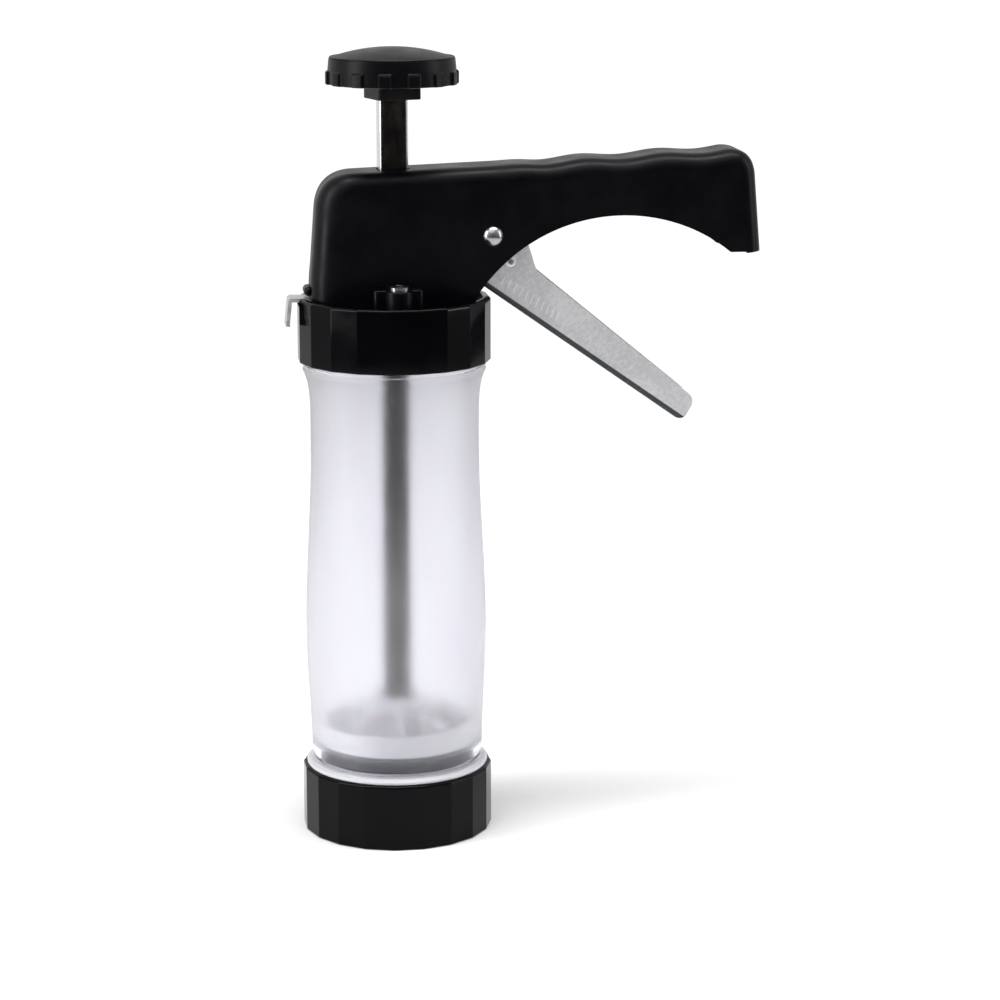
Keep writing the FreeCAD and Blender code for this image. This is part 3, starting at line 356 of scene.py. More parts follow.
class Recipe:
    """Builds one node material around a Principled shader."""

    def __init__(self, name: str) -> None:
        """Start a material that holds only its shader and output.

        Args:
            name: the material's name.
        """
        self.material = bpy.data.materials.new(name)
        self.material.use_nodes = True
        self.tree = self.material.node_tree
        self.tree.nodes.clear()
        self.output = self.tree.nodes.new("ShaderNodeOutputMaterial")
        self.shader = self.tree.nodes.new("ShaderNodeBsdfPrincipled")
        self.tree.links.new(self.shader.outputs[0], self.output.inputs[0])

    def node(self, kind: str, **settings: Any) -> bpy.types.Node:
        """Add a node and set its own properties.

        Args:
            kind: the node's type.
            settings: its properties, by name.

        Returns:
            The node.
        """
        made = self.tree.nodes.new(kind)
        for key, value in settings.items():
            setattr(made, key, value)
        return made

    def feed(self, socket: Socket, value: Any) -> None:
        """Link a socket to another, or set it to a constant.

        Args:
            socket: the input.
            value: an output to link, or a number, vector or colour.
        """
        if isinstance(value, Socket):
            self.tree.links.new(value, socket)
        elif isinstance(value, tuple) and len(value) == 3 and socket.type == "RGBA":
            socket.default_value = (*value, 1.0)
        else:
            socket.default_value = value

    def set(self, **values: Any) -> None:
        """Set shader sockets by name, with spaces written as underscores."""
        for key, value in values.items():
            self.feed(self.shader.inputs[key.replace("_", " ")], value)

    def coords(self, stretch: Colour = (1.0, 1.0, 1.0), tilt: float = 0.0) -> Socket:
        """Object coordinates, stretched along each axis after a turn about Y.

        Args:
            stretch: factor for each axis.
            tilt: turn about Y in radians.

        Returns:
            The vector socket.
        """
        where = self.node("ShaderNodeTexCoord").outputs["Object"]
        turn = self.node("ShaderNodeMapping")
        self.feed(turn.inputs["Vector"], where)
        turn.inputs["Rotation"].default_value = (0.0, tilt, 0.0)
        scale = self.node("ShaderNodeMapping")
        self.feed(scale.inputs["Vector"], turn.outputs[0])
        scale.inputs["Scale"].default_value = stretch
        return scale.outputs[0]

    def noise(
        self, vector: Socket, cells: float, detail: float = 3.0, rough: float = 0.5
    ) -> Socket:
        """Cloudy noise.

        Args:
            vector: the place it is read at.
            cells: number of cells a metre.
            detail: finer layers laid over the first.
            rough: how strong the finer layers are.

        Returns:
            The value socket, from 0 to 1.
        """
        made = self.node("ShaderNodeTexNoise")
        self.feed(made.inputs["Vector"], vector)
        self.feed(made.inputs["Scale"], cells)
        self.feed(made.inputs["Detail"], detail)
        self.feed(made.inputs["Roughness"], rough)
        return made.outputs["Fac"]

    def span(self, value: Socket, source: Span, target: Span = WHOLE) -> Socket:
        """Map one range of values smoothly to another, clamped at both ends.

        Args:
            value: the value to map.
            source: range it is read over.
            target: range it is mapped to.

        Returns:
            The value socket.
        """
        made = self.node("ShaderNodeMapRange", interpolation_type="SMOOTHSTEP")
        for socket, number in zip(made.inputs, (value, *source, *target)):
            self.feed(socket, number)
        return made.outputs[0]

    def maths(self, operation: str, first: Any, second: Any = 0.0) -> Socket:
        """One step of arithmetic.

        Args:
            operation: the step's name.
            first: first value.
            second: second value.

        Returns:
            The value socket.
        """
        made = self.node("ShaderNodeMath", operation=operation)
        self.feed(made.inputs[0], first)
        self.feed(made.inputs[1], second)
        return made.outputs[0]

    def mix(self, share: Socket, first: Any, second: Any) -> Socket:
        """Colour between two.

        Args:
            share: 0 for the first colour, 1 for the second.
            first: colour or socket.
            second: colour or socket.

        Returns:
            The colour socket.
        """
        made = self.node("ShaderNodeMix", data_type="RGBA")
        self.feed(made.inputs["Factor"], share)
        self.feed(made.inputs[6], first)
        self.feed(made.inputs[7], second)
        return made.outputs[2]

    def axis(self, name: str, of: str = "Object") -> Socket:
        """One axis of a coordinate.

        Args:
            name: X, Y or Z.
            of: "Object" for the place in metres, "Normal" for the way the surface faces.

        Returns:
            The value socket.
        """
        split = self.node("ShaderNodeSeparateXYZ")
        self.feed(split.inputs[0], self.node("ShaderNodeTexCoord").outputs[of])
        return split.outputs[name]

    def bump(self, height: Socket, depth: float) -> None:
        """Raise the surface.

        Args:
            height: how far, from 0 to 1.
            depth: the full height in millimetres.
        """
        made = self.node("ShaderNodeBump")
        self.feed(made.inputs["Height"], height)
        self.feed(made.inputs["Distance"], depth * MM)
        self.feed(made.inputs["Strength"], 1.0)
        self.feed(self.shader.inputs["Normal"], made.outputs[0])


@dataclass(frozen=True)
class Plastic:
    """Moulded plastic: a fine mould grain, faint flow marks and handling marks in its gloss."""

    name: str
    deep: Colour
    pale: Colour
    gloss: Span
    specular: float
    subsurface: float = 0.0
    flow_cells: float = 38.0
    smear_cells: float = 95.0
    grain_cells: float = 2600.0
    grain_depth: float = 0.004
    wave_cells: float = 120.0
    wave_depth: float = 0.02
    soak: float = 2.5

    def make(self) -> bpy.types.Material:
        """Build the material.

        Returns:
            The material.
        """
        recipe = Recipe(self.name)
        plain = recipe.coords()
        flow = recipe.noise(recipe.coords((1.0, 1.0, 0.35)), self.flow_cells, 4.0)
        smear = recipe.noise(plain, self.smear_cells, 5.0, 0.62)
        grain = recipe.noise(plain, self.grain_cells, 2.0)
        wave = recipe.noise(plain, self.wave_cells, 1.0)
        recipe.set(
            Base_Color=recipe.mix(recipe.span(flow, (0.35, 0.65)), self.deep, self.pale),
            Roughness=recipe.span(smear, USUAL, self.gloss),
            Specular_IOR_Level=self.specular,
        )
        if self.subsurface > 0.0:
            recipe.set(Subsurface_Weight=self.subsurface, Subsurface_Scale=self.soak * MM)
        lumps = recipe.maths("MULTIPLY", wave, self.wave_depth / self.grain_depth)
        recipe.bump(recipe.maths("ADD", grain, lumps), self.grain_depth)
        return recipe.material


@dataclass(frozen=True)
class FrostedWall:
    """Blown clear plastic: etched above its polished foot, cloudy in its thick flange, and with
    painted shade where it is seen edge-on.
    """

    name: str = "frosted_wall"
    tint: Colour = (0.885, 0.88, 0.925)
    pale: Colour = (0.945, 0.945, 0.975)
    # Painted edge shade: a darker, bluer tint where the wall is seen edge-on, standing in for the
    # thick wall's darkening there.
    rim: Colour = (0.82, 0.81, 0.88)
    etched: float = 0.34
    polished: float = 0.05
    veil: Span = (0.08, 0.01)
    veil_z: Span = (35.0, 150.0)
    cloudy: float = 0.45
    flange_z: Span = (22.6, 24.2)
    line_z: Span = (26.7, 29.7)
    cloud_cells: float = 60.0
    speckle_cells: float = 1100.0
    speckle_depth: float = 0.002
    index: float = 1.3

    def make(self) -> bpy.types.Material:
        """Build the material; roughness climbs where the etching starts above the foot.

        Returns:
            The material.
        """
        recipe = Recipe(self.name)
        flange, line, veiled = (
            (low * MM, high * MM) for low, high in (self.flange_z, self.line_z, self.veil_z)
        )
        height = recipe.axis("Z")
        etching = recipe.span(height, line)
        cloud = recipe.noise(recipe.coords((1.0, 1.0, 0.4)), self.cloud_cells, 4.0)
        speckle = recipe.noise(recipe.coords(), self.speckle_cells, 1.0)
        roughness = recipe.maths("MULTIPLY", etching, self.etched - self.polished)
        roughness = recipe.maths("ADD", roughness, self.polished)
        veil = recipe.maths("MULTIPLY", etching, recipe.span(height, veiled, self.veil))
        clear = recipe.span(height, flange, (self.cloudy, 1.0))
        body = recipe.mix(recipe.span(cloud, USUAL), self.tint, self.pale)
        # Painted edge shade: the base colour turns to the rim colour as the wall is seen more
        # edge-on.
        facing = recipe.node("ShaderNodeLayerWeight")
        facing.inputs["Blend"].default_value = 0.5
        painted_edge_shade = recipe.span(facing.outputs["Facing"], (0.45, 0.95))
        wander = recipe.span(cloud, USUAL, (0.92, 1.1))
        recipe.set(
            Base_Color=recipe.mix(painted_edge_shade, body, self.rim),
            Roughness=recipe.maths("MULTIPLY", roughness, wander),
            Transmission_Weight=recipe.maths("SUBTRACT", clear, veil),
            IOR=self.index,
            Specular_IOR_Level=0.5,
        )
        recipe.bump(recipe.maths("MULTIPLY", speckle, etching), self.speckle_depth)
        return recipe.material


@dataclass(frozen=True)
class Steel:
    """Steel sheet with a brushed grain along one direction and mottled grinding marks."""

    name: str
    pale: Colour
    dull: Colour
    gloss: Span = (0.26, 0.44)
    stretch: Colour = (0.06, 1.0, 1.0)
    tilt: float = 0.0
    grain_cells: float = 2400.0
    grain_depth: float = 0.01
    mottle_cells: float = 420.0
    broad_cells: float = 70.0
    metal: float = 1.0
    # Painted dark reflection: when set, faces that point down take the colour below, which stands
    # in for the dark surroundings they mirror.
    paints_dark_reflection_below: bool = False
    below: Colour = (0.05, 0.055, 0.06)
    below_gloss: float = 0.6

    def make(self) -> bpy.types.Material:
        """Build the material; sides that face down can get a painted dark reflection, darker than
        the rest.

        Returns:
            The material.
        """
        recipe = Recipe(self.name)
        along = recipe.coords(self.stretch, self.tilt)
        brushed = recipe.noise(along, self.grain_cells, 3.0, 0.6)
        ground = recipe.coords((0.7, 1.0, 1.0), self.tilt)
        mottle = recipe.noise(ground, self.mottle_cells, 4.0, 0.65)
        broad = recipe.noise(recipe.coords(), self.broad_cells, 2.0)
        fine_wear = recipe.maths("MULTIPLY", mottle, 0.6)
        worn = recipe.maths("ADD", fine_wear, recipe.maths("MULTIPLY", broad, 0.4))
        face = recipe.mix(recipe.span(worn, (0.38, 0.62)), self.dull, self.pale)
        roughness = recipe.span(mottle, USUAL, self.gloss)
        # Painted dark reflection: faces whose normal points down take the dark below colour instead
        # of the steel's own colour.
        if self.paints_dark_reflection_below:
            below = recipe.span(recipe.axis("Z", "Normal"), (-0.12, -0.03), (1.0, 0.0))
            face = recipe.mix(below, face, self.below)
            roughness = recipe.span(below, WHOLE, (self.gloss[1], self.below_gloss))
        recipe.set(Base_Color=face, Metallic=self.metal, Roughness=roughness)
        recipe.bump(recipe.maths("ADD", brushed, mottle), self.grain_depth)
        return recipe.material


@dataclass(frozen=True)
class DrawnChannel:
    """Rod channel: a painted highlight on its rolled bends, and a painted dark reflection on its
    drawn web, streaked along its length.
    """

    name: str = "drawn_channel"
    # Painted dark reflection: the web's near-black colour stands in for the dark room it mirrors.
    web: Colour = (0.035, 0.033, 0.032)
    streak: Colour = (0.12, 0.105, 0.095)
    # Painted highlight: the bends' bright colour stands in for the bright surroundings they mirror.
    bend: Colour = (0.82, 0.82, 0.84)
    gloss: Span = (0.16, 0.26)
    painted_highlight_x: Span = (3.95, 4.4)
    drawn_cells: float = 1400.0
    drawn_depth: float = 0.008
    blotch_cells: float = 160.0

    def make(self) -> bpy.types.Material:
        """Build the material; the painted highlight goes on the bends, where the distance from the
        rod's middle is large.

        Returns:
            The material.
        """
        recipe = Recipe(self.name)
        drawn = recipe.noise(recipe.coords((1.0, 1.0, 0.03)), self.drawn_cells, 3.0, 0.6)
        blotch = recipe.noise(recipe.coords((1.0, 1.0, 0.4)), self.blotch_cells, 4.0, 0.6)
        # Painted highlight: columns far from the rod's middle take the bright bend colour, the rest
        # the dark web colour.
        off = recipe.maths("ABSOLUTE", recipe.axis("X"))
        painted_highlight_share = recipe.span(off, (self.painted_highlight_x[0] * MM, self.painted_highlight_x[1] * MM))
        face = recipe.mix(recipe.span(blotch, (0.45, 0.75)), self.web, self.streak)
        recipe.set(
            Base_Color=recipe.mix(painted_highlight_share, face, self.bend),
            Metallic=1.0,
            Roughness=recipe.span(blotch, USUAL, self.gloss),
        )
        recipe.bump(drawn, self.drawn_depth)
        return recipe.material


@dataclass(frozen=True)
class Paper:
    """Pale studio paper for the floor."""

    name: str = "studio_paper"
    colour: Colour = (0.8, 0.8, 0.805)
    fleck: Colour = (0.82, 0.82, 0.82)
    fibre_cells: float = 900.0
    fibre_depth: float = 0.02

    def make(self) -> bpy.types.Material:
        """Build the material.

        Returns:
            The material.
        """
        recipe = Recipe(self.name)
        fibre = recipe.noise(recipe.coords(), self.fibre_cells, 4.0)
        recipe.set(
            Base_Color=recipe.mix(recipe.span(fibre, USUAL), self.colour, self.fleck),
            Roughness=0.85,
            Specular_IOR_Level=0.0,
        )
        recipe.bump(fibre, self.fibre_depth)
        return recipe.material


class Palette:
    """Every finish of the press, made once."""

    def __init__(self) -> None:
        """Make the materials."""
        level = (1.0, 1.0, 1.0)
        self.housing = Plastic(
            "satin_black_housing",
            deep=(0.0006, 0.0005, 0.0013),
            pale=(0.0018, 0.0016, 0.0032),
            gloss=(0.3, 0.42),
            specular=0.12,
        ).make()
        self.collar = Plastic(
            "gloss_black_collar",
            deep=(0.0005, 0.0005, 0.001),
            pale=(0.0012, 0.0012, 0.002),
            gloss=(0.08, 0.15),
            specular=0.09,
        ).make()
        self.knob = Plastic(
            "satin_black_knob",
            deep=(0.0012, 0.0011, 0.0018),
            pale=(0.003, 0.0028, 0.004),
            gloss=(0.29, 0.4),
            specular=0.12,
        ).make()
        self.piston = Plastic(
            "white_piston",
            deep=(0.93, 0.93, 0.95),
            pale=(0.97, 0.97, 0.97),
            gloss=(0.3, 0.45),
            specular=0.45,
            subsurface=0.2,
        ).make()
        self.seal = Plastic(
            "grey_seal_rubber",
            deep=(0.1, 0.1, 0.11),
            pale=(0.14, 0.14, 0.15),
            gloss=(0.5, 0.68),
            specular=0.3,
            wave_depth=0.01,
        ).make()
        self.gasket = Plastic(
            "clear_grey_gasket",
            deep=(0.3, 0.3, 0.32),
            pale=(0.38, 0.38, 0.4),
            gloss=(0.45, 0.6),
            specular=0.35,
        ).make()
        self.disc = Plastic(
            "ivory_disc",
            deep=(0.78, 0.74, 0.6),
            pale=(0.84, 0.81, 0.68),
            gloss=(0.34, 0.48),
            specular=0.4,
            subsurface=0.15,
        ).make()
        self.wall = FrostedWall().make()
        self.sheet = Steel(
            "brushed_trigger_sheet",
            pale=(0.73, 0.73, 0.74),
            dull=(0.58, 0.58, 0.6),
            gloss=(0.36, 0.5),
            tilt=math.radians(34.0),
            grain_depth=0.003,
            mottle_cells=900.0,
            metal=0.65,
            # Painted dark reflection on the sides that face down.
            paints_dark_reflection_below=True,
        ).make()
        self.eyelet = Steel(
            "bright_eyelet",
            pale=(0.95, 0.95, 0.95),
            dull=(0.85, 0.85, 0.86),
            gloss=(0.2, 0.3),
            stretch=level,
            grain_depth=0.002,
            metal=0.3,
        ).make()
        self.lever = Steel(
            "lever_sheet",
            pale=(0.6, 0.6, 0.62),
            dull=(0.46, 0.46, 0.48),
            gloss=(0.3, 0.42),
            grain_depth=0.003,
            metal=0.8,
        ).make()
        # Painted highlight on the bends and painted dark reflection on the web.
        self.rod = DrawnChannel().make()
        self.plate = Steel(
            "stamped_plate", pale=(0.66, 0.66, 0.67), dull=(0.48, 0.48, 0.5)
        ).make()
        self.polished = Steel(
            "polished_rivet",
            pale=(0.4, 0.4, 0.41),
            dull=(0.3, 0.3, 0.32),
            gloss=(0.19, 0.26),
            stretch=level,
            grain_depth=0.001,
        ).make()
        self.wire = Steel(
            "spring_wire",
            pale=(0.62, 0.62, 0.63),
            dull=(0.45, 0.45, 0.47),
            gloss=(0.2, 0.32),
            stretch=level,
        ).make()
        self.etch = Steel(
            "etched_tick",
            pale=(0.93, 0.93, 0.94),
            dull=(0.85, 0.85, 0.86),
            gloss=(0.5, 0.6),
            stretch=level,
        ).make()


def dress(piece: bpy.types.Object, material: bpy.types.Material) -> None:
    """Put a material in every slot of a piece, or give it one.

    Args:
        piece: the object.
        material: its finish.
    """
    if not piece.data.materials:
        piece.data.materials.append(material)
        return
    for index in range(len(piece.data.materials)):
        piece.data.materials[index] = material


def settle(
    piece: bpy.types.Object,
    material: bpy.types.Material,
    body: Body,
    stands_for: Sequence[str] = (),
) -> bpy.types.Object:
    """Finish a new piece: its material, the body it rides on and the node it stands for.

    Args:
        piece: the object.
        material: its finish.
        body: the body that carries it.
        stands_for: nodes of the frame that it replaces.

    Returns:
        The same object.
    """
    dress(piece, material)
    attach(piece, body.value)
    if stands_for:
        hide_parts(*stands_for)
    LOG.info("%s rides on %s with %d faces", piece.name, body.value, len(piece.data.polygons))
    return piece


def carve(piece: bpy.types.Object, cutters: Sequence[Skin], crease: float = 32.0) -> None:
    """Cut closed skins out of a piece and keep the result as its mesh.

    Args:
        piece: the object to cut.
        cutters: closed skins.
        crease: edges sharper than this many degrees stay crisp.
    """
    tools = [skin.build() for skin in cutters]
    for tool in tools:
        cut = piece.modifiers.new(tool.name, "BOOLEAN")
        cut.operation = "DIFFERENCE"
        cut.solver = "EXACT"
        cut.object = tool
    graph = bpy.context.evaluated_depsgraph_get()
    mesh = bpy.data.meshes.new_from_object(piece.evaluated_get(graph))
    piece.modifiers.clear()
    old = piece.data
    piece.data = mesh
    bpy.data.meshes.remove(old)
    mesh.name = piece.name
    mesh.shade_smooth()
    mesh.set_sharp_from_angle(angle=math.radians(crease))
    for tool in tools:
        bpy.data.meshes.remove(tool.data)


# --------------------------------------------------------------------------- barrel
@dataclass(frozen=True)
class Barrel:
    """Waisted clear barrel with a threaded neck at each end."""

    bore: float = 25.2
    neck: float = 27.2
    shoulder: float = 28.5
    flange: float = 29.65
    wall_foot: float = 27.9
    fillet: float = 2.6
    belly: float = 29.35
    waist: float = 27.1
    flare: float = 29.4
    neck_height: float = 13.6
    shoulder_height: float = 4.2
    top_neck: float = 16.1
    belly_above_foot: float = 44.0
    waist_below_flare: float = 24.0
    lip: float = 1.2
    ring_gap: float = 0.08
    thread_rise: float = 1.3
    thread_turns: float = 1.5

    def wall(self, low: float, high: float) -> Grid:
        """Outside of the wall from the foot to the flare.

        From the foot to the belly and on to the waist the radius follows half a cosine wave. From
        the waist to the flare it is the waist plus the rise times the fifth power of the way.

        Args:
            low: height of the foot.
            high: height of the flare's upper edge.

        Returns:
            Points of radius and height.
        """
        belly_z = low + self.belly_above_foot - self.fillet
        waist_z = high - self.waist_below_flare
        t = np.linspace(0.0, 1.0, 28)
        swell = (1.0 - np.cos(math.pi * t)) / 2.0
        edge_z = high - self.lip
        runs = [
            (self.wall_foot, self.belly, swell, low, belly_z),
            (self.belly, self.waist, swell, belly_z, waist_z),
            (self.waist, self.flare, t**5, waist_z, edge_z),
        ]
        lower, middle, upper = (
            np.column_stack([near + (far - near) * share, foot + (head - foot) * t])
            for near, far, share, foot, head in runs
        )
        return np.concatenate([lower, middle[1:], upper[1:]])

    def build(self, palette: Palette) -> None:
        """Turn the barrel's section round Z, and add both threads.

        Args:
            palette: the finishes.
        """
        low, high = (corner[2] for corner in node_box("barrel"))
        foot = low + self.neck_height + self.shoulder_height
        flare = high - self.top_neck
        ring_top = node_box("base_ring")[1][2] + self.ring_gap
        below = eased(
            [[self.bore, low], [self.neck, low], [self.neck, low + self.neck_height],
             [self.shoulder, low + self.neck_height], [self.shoulder, ring_top],
             [self.flange, ring_top], [self.flange, ring_top + 1.1],
             [self.wall_foot, ring_top + 1.5], [self.wall_foot, foot + self.fillet]],
            [0.4, 0.4, 0.3, 0.4, 0.2, 0.35, 0.5, 1.5, 0.5],
        )
        above = eased(
            [[self.flare, flare], [self.neck, flare], [self.neck, high], [self.bore, high]],
            [0.5, 0.3, 0.4, 0.4],
        )
        section = np.concatenate([below, self.wall(foot + self.fillet, flare), above])
        inside = np.linspace(high - 1.0, low + 1.0, 24)
        section = np.concatenate([section, np.column_stack([np.full(24, self.bore), inside])])
        skin = Skin("barrel_tube")
        tube = turned(section[:, 0], section[:, 1], around(160))
        skin.add(tube, wrap_rows=True, wrap_columns=True)
        collar_low = node_box("top_collar")[0][2]
        for start in (low + 2.9, collar_low + 4.8):
            crest = self.neck + self.thread_rise
            ridge = thread_ridge(self.neck - 0.3, crest, start, self.thread_turns)
            skin.add(ridge, wrap_columns=True)
        settle(skin.build(), palette.wall, Body.BARREL, ["barrel"])


# --------------------------------------------------------------------------- collars
@dataclass(frozen=True)
class FacetedRing:
    """Screw ring with twenty flat facets outside and a thread inside."""

    name: str
    phase: float
    low: float
    high: float
    notch: float = 0.0
    notch_z: float = 0.0
    flat: float = 30.6
    cavity: float = 28.9
    facets: int = 20
    softness: float = 1.4
    rim: float = 1.0
    foot_rim: float = 0.45

    def columns(self) -> Grid:
        """Angles of the columns: close together at each corner and each side of the notch.

        Returns:
            One angle for each column.
        """
        step = TURN / self.facets
        corner = [0.0, 0.012, 0.024, 0.036, 0.05]
        across = np.array(corner + [0.18, 0.34, 0.5, 0.66, 0.82, 0.95, 0.964, 0.976, 0.988])
        start = math.radians(self.phase)
        angles = (start + step * (np.arange(self.facets)[:, None] + across[None, :])).ravel()
        if self.notch > 0.0:
            reach = math.asin(self.notch / self.flat)
            edge = math.pi + reach * np.array([-1.01, -1.0, 1.0, 1.01])
            angles = np.sort(np.mod(np.concatenate([angles, edge]), TURN))
        return angles

    def facet_radius(self, angles: Grid, inset: float) -> Grid:
        """Radius of a regular polygon whose corners are rounded.

        On a flat it is a / cos(w), with a the distance to the flat and w the angle from its
        middle. Near a corner it is where the ray meets the corner's circle, c cos(v) + sqrt(s^2 -
        c^2 sin^2 v), with v the angle from the corner, s its radius and c its centre's distance.

        Args:
            angles: angle of each column.
            inset: how far the flats are drawn in.

        Returns:
            One radius for each angle.
        """
        half = math.pi / self.facets
        flat = self.flat - inset
        soft = self.softness
        place = np.mod(angles - math.radians(self.phase), 2 * half)
        from_corner = np.minimum(place, 2 * half - place)
        straight = flat / np.cos(half - from_corner)
        centre = (flat - soft) / math.cos(half)
        reach = np.maximum(soft**2 - (centre * np.sin(from_corner)) ** 2, 0.0)
        arc = centre * np.cos(from_corner) + np.sqrt(reach)
        limit = math.atan2(soft * math.sin(half), centre + soft * math.cos(half))
        return np.where(from_corner < limit, arc, straight)

    def outside(self, angles: Grid) -> tuple[Grid, Grid]:
        """Radii and heights of the faceted outside, from its lower to its upper rim.

        Args:
            angles: angle of each column.

        Returns:
            Radii, rows by columns, and the height of each row.
        """
        bend = np.linspace(0.0, math.pi / 2, 9)
        small = self.foot_rim
        inset = np.concatenate([small * (1 - np.sin(bend)), [0.0], self.rim * (1 - np.cos(bend))])
        level = np.concatenate(
            [self.low + small * (1 - np.cos(bend)), [(self.low + self.high) / 2],
             self.high - self.rim + self.rim * np.sin(bend)]
        )
        radius = np.stack([self.facet_radius(angles, float(i)) for i in inset])
        return radius, level

    def skin(self, inner: Sequence[tuple[float, float]]) -> Skin:
        """Join the faceted outside to the inner section.

        Args:
            inner: radius and height of each point of the inside, downwards.

        Returns:
            The closed skin.
        """
        angles = self.columns()
        radius, level = self.outside(angles)
        section = np.array(inner)
        round_part = np.broadcast_to(section[:, :1], (len(section), len(angles)))
        skin = Skin(self.name)
        height = np.concatenate([level, section[:, 1]])[:, None] * np.ones(len(angles))
        if self.notch > 0.0:
            cut = np.abs(np.sin(angles)) * self.flat <= self.notch * 1.001
            cut &= np.cos(angles) < 0.0
            height[:, cut] = np.minimum(height[:, cut], self.notch_z)
        grid = turned(np.concatenate([radius, round_part]), height, angles)
        skin.add(grid, wrap_rows=True, wrap_columns=True)
        return skin


@dataclass(frozen=True)
class Collars:
    """The cap under the head and the ring round the barrel's foot."""

    outlet: float = 25.0
    lip: float = 3.0
    rim_bore: float = 28.4
    rim_height: float = 2.4
    cap: float = 2.4
    rod_hole: float = 6.9
    notch: float = 4.9
    ridge: float = 27.6
    ridge_turns: float = 1.25
    crease: float = 20.0
    cup_wall: float = 1.3
    spring_gap: float = 0.4

    def foot_ring(self, palette: Palette) -> None:
        """Ring that carries the shaping disc on its lip.

        Args:
            palette: the finishes.
        """
        low, high = (corner[2] for corner in node_box("base_ring"))
        ring = FacetedRing("foot_ring", 10.5, low, high)
        inner = [
            (ring.cavity + 0.25, high),
            (ring.cavity, high - 0.3),
            (ring.cavity, self.lip),
            (self.outlet + 0.3, self.lip),
            (self.outlet, self.lip - 0.3),
            (self.outlet, low + 0.5),
            (self.outlet + 0.5, low),
        ]
        skin = ring.skin(inner)
        start = node_box("barrel")[0][2] + 4.9
        ridge = thread_ridge(ring.cavity + 0.3, self.ridge, start, self.ridge_turns)
        skin.add(ridge, wrap_columns=True)
        settle(skin.build(self.crease), palette.collar, Body.RING, ["base_ring"])

    def cap_collar(self, palette: Palette) -> None:
        """Cap that holds the barrel under the head, with the head's foot in its rim.

        Args:
            palette: the finishes.
        """
        low, high = (corner[2] for corner in node_box("top_collar"))
        floor = high - self.rim_height
        roof = floor - self.cap
        ring = FacetedRing("cap_collar", 9.0, low, high, notch=self.notch, notch_z=floor)
        inner = [
            (self.rim_bore + 0.25, high),
            (self.rim_bore, high - 0.3),
            (self.rim_bore, floor),
            (self.rim_bore, roof),
            (ring.cavity, roof),
            (ring.cavity, low + 0.3),
            (ring.cavity + 0.25, low),
        ]
        skin = ring.skin(inner)
        ridge = thread_ridge(ring.cavity + 0.3, self.ridge, low + 2.8, self.ridge_turns)
        skin.add(ridge, wrap_columns=True)
        settle(skin.build(self.crease), palette.collar, Body.HEAD, ["top_collar"])
        self.cap_plate(palette, floor, roof)

    def cap_plate(self, palette: Palette, floor: float, roof: float) -> None:
        """Flat cap in the collar, with the rod's hole and the cup that the small spring stands in.

        Args:
            palette: the finishes.
            floor: height of its top.
            roof: height of its underside.
        """
        edge = self.rim_bore + 0.4
        hole = self.rod_hole
        section = np.array([[hole, floor], [hole, roof], [edge, roof], [edge, floor]])
        skin = Skin("cap_plate")
        plate = turned(section[:, 0], section[:, 1], around(96))
        skin.add(plate, wrap_rows=True, wrap_columns=True)
        spring_low, spring_high = node_box("release_spring")
        centre = (spring_low[0] + spring_high[0]) / 2
        reach = (spring_high[0] - spring_low[0]) / 2 + self.spring_gap
        piece = skin.build()
        well = Skin("spring_well")
        ring = np.column_stack([centre + reach * np.cos(around(40)), reach * np.sin(around(40))])
        well.add(upright(ring, roof - 0.5, floor + 1.0, 0.01), wrap_columns=True)
        carve(piece, [well])
        settle(piece, palette.collar, Body.HEAD, ["top_collar"])
        base = spring_low[2] - 0.05
        side, under = reach + self.cup_wall, base - self.cup_wall
        cup = np.array(
            [[reach, roof + 0.6], [reach, base], [0.0, base],
             [0.0, under], [side, under], [side, roof + 0.6]]
        )
        pocket = Skin("spring_cup")
        shape = turned(cup[:, 0], cup[:, 1], around(40)) + np.array([centre, 0.0, 0.0])
        pocket.add(shape, wrap_rows=True, wrap_columns=True)
        settle(pocket.build(), palette.collar, Body.HEAD, ["top_collar"])

    def build(self, palette: Palette) -> None:
        """Build both rings.

        Args:
            palette: the finishes.
        """
        self.foot_ring(palette)
        self.cap_collar(palette)


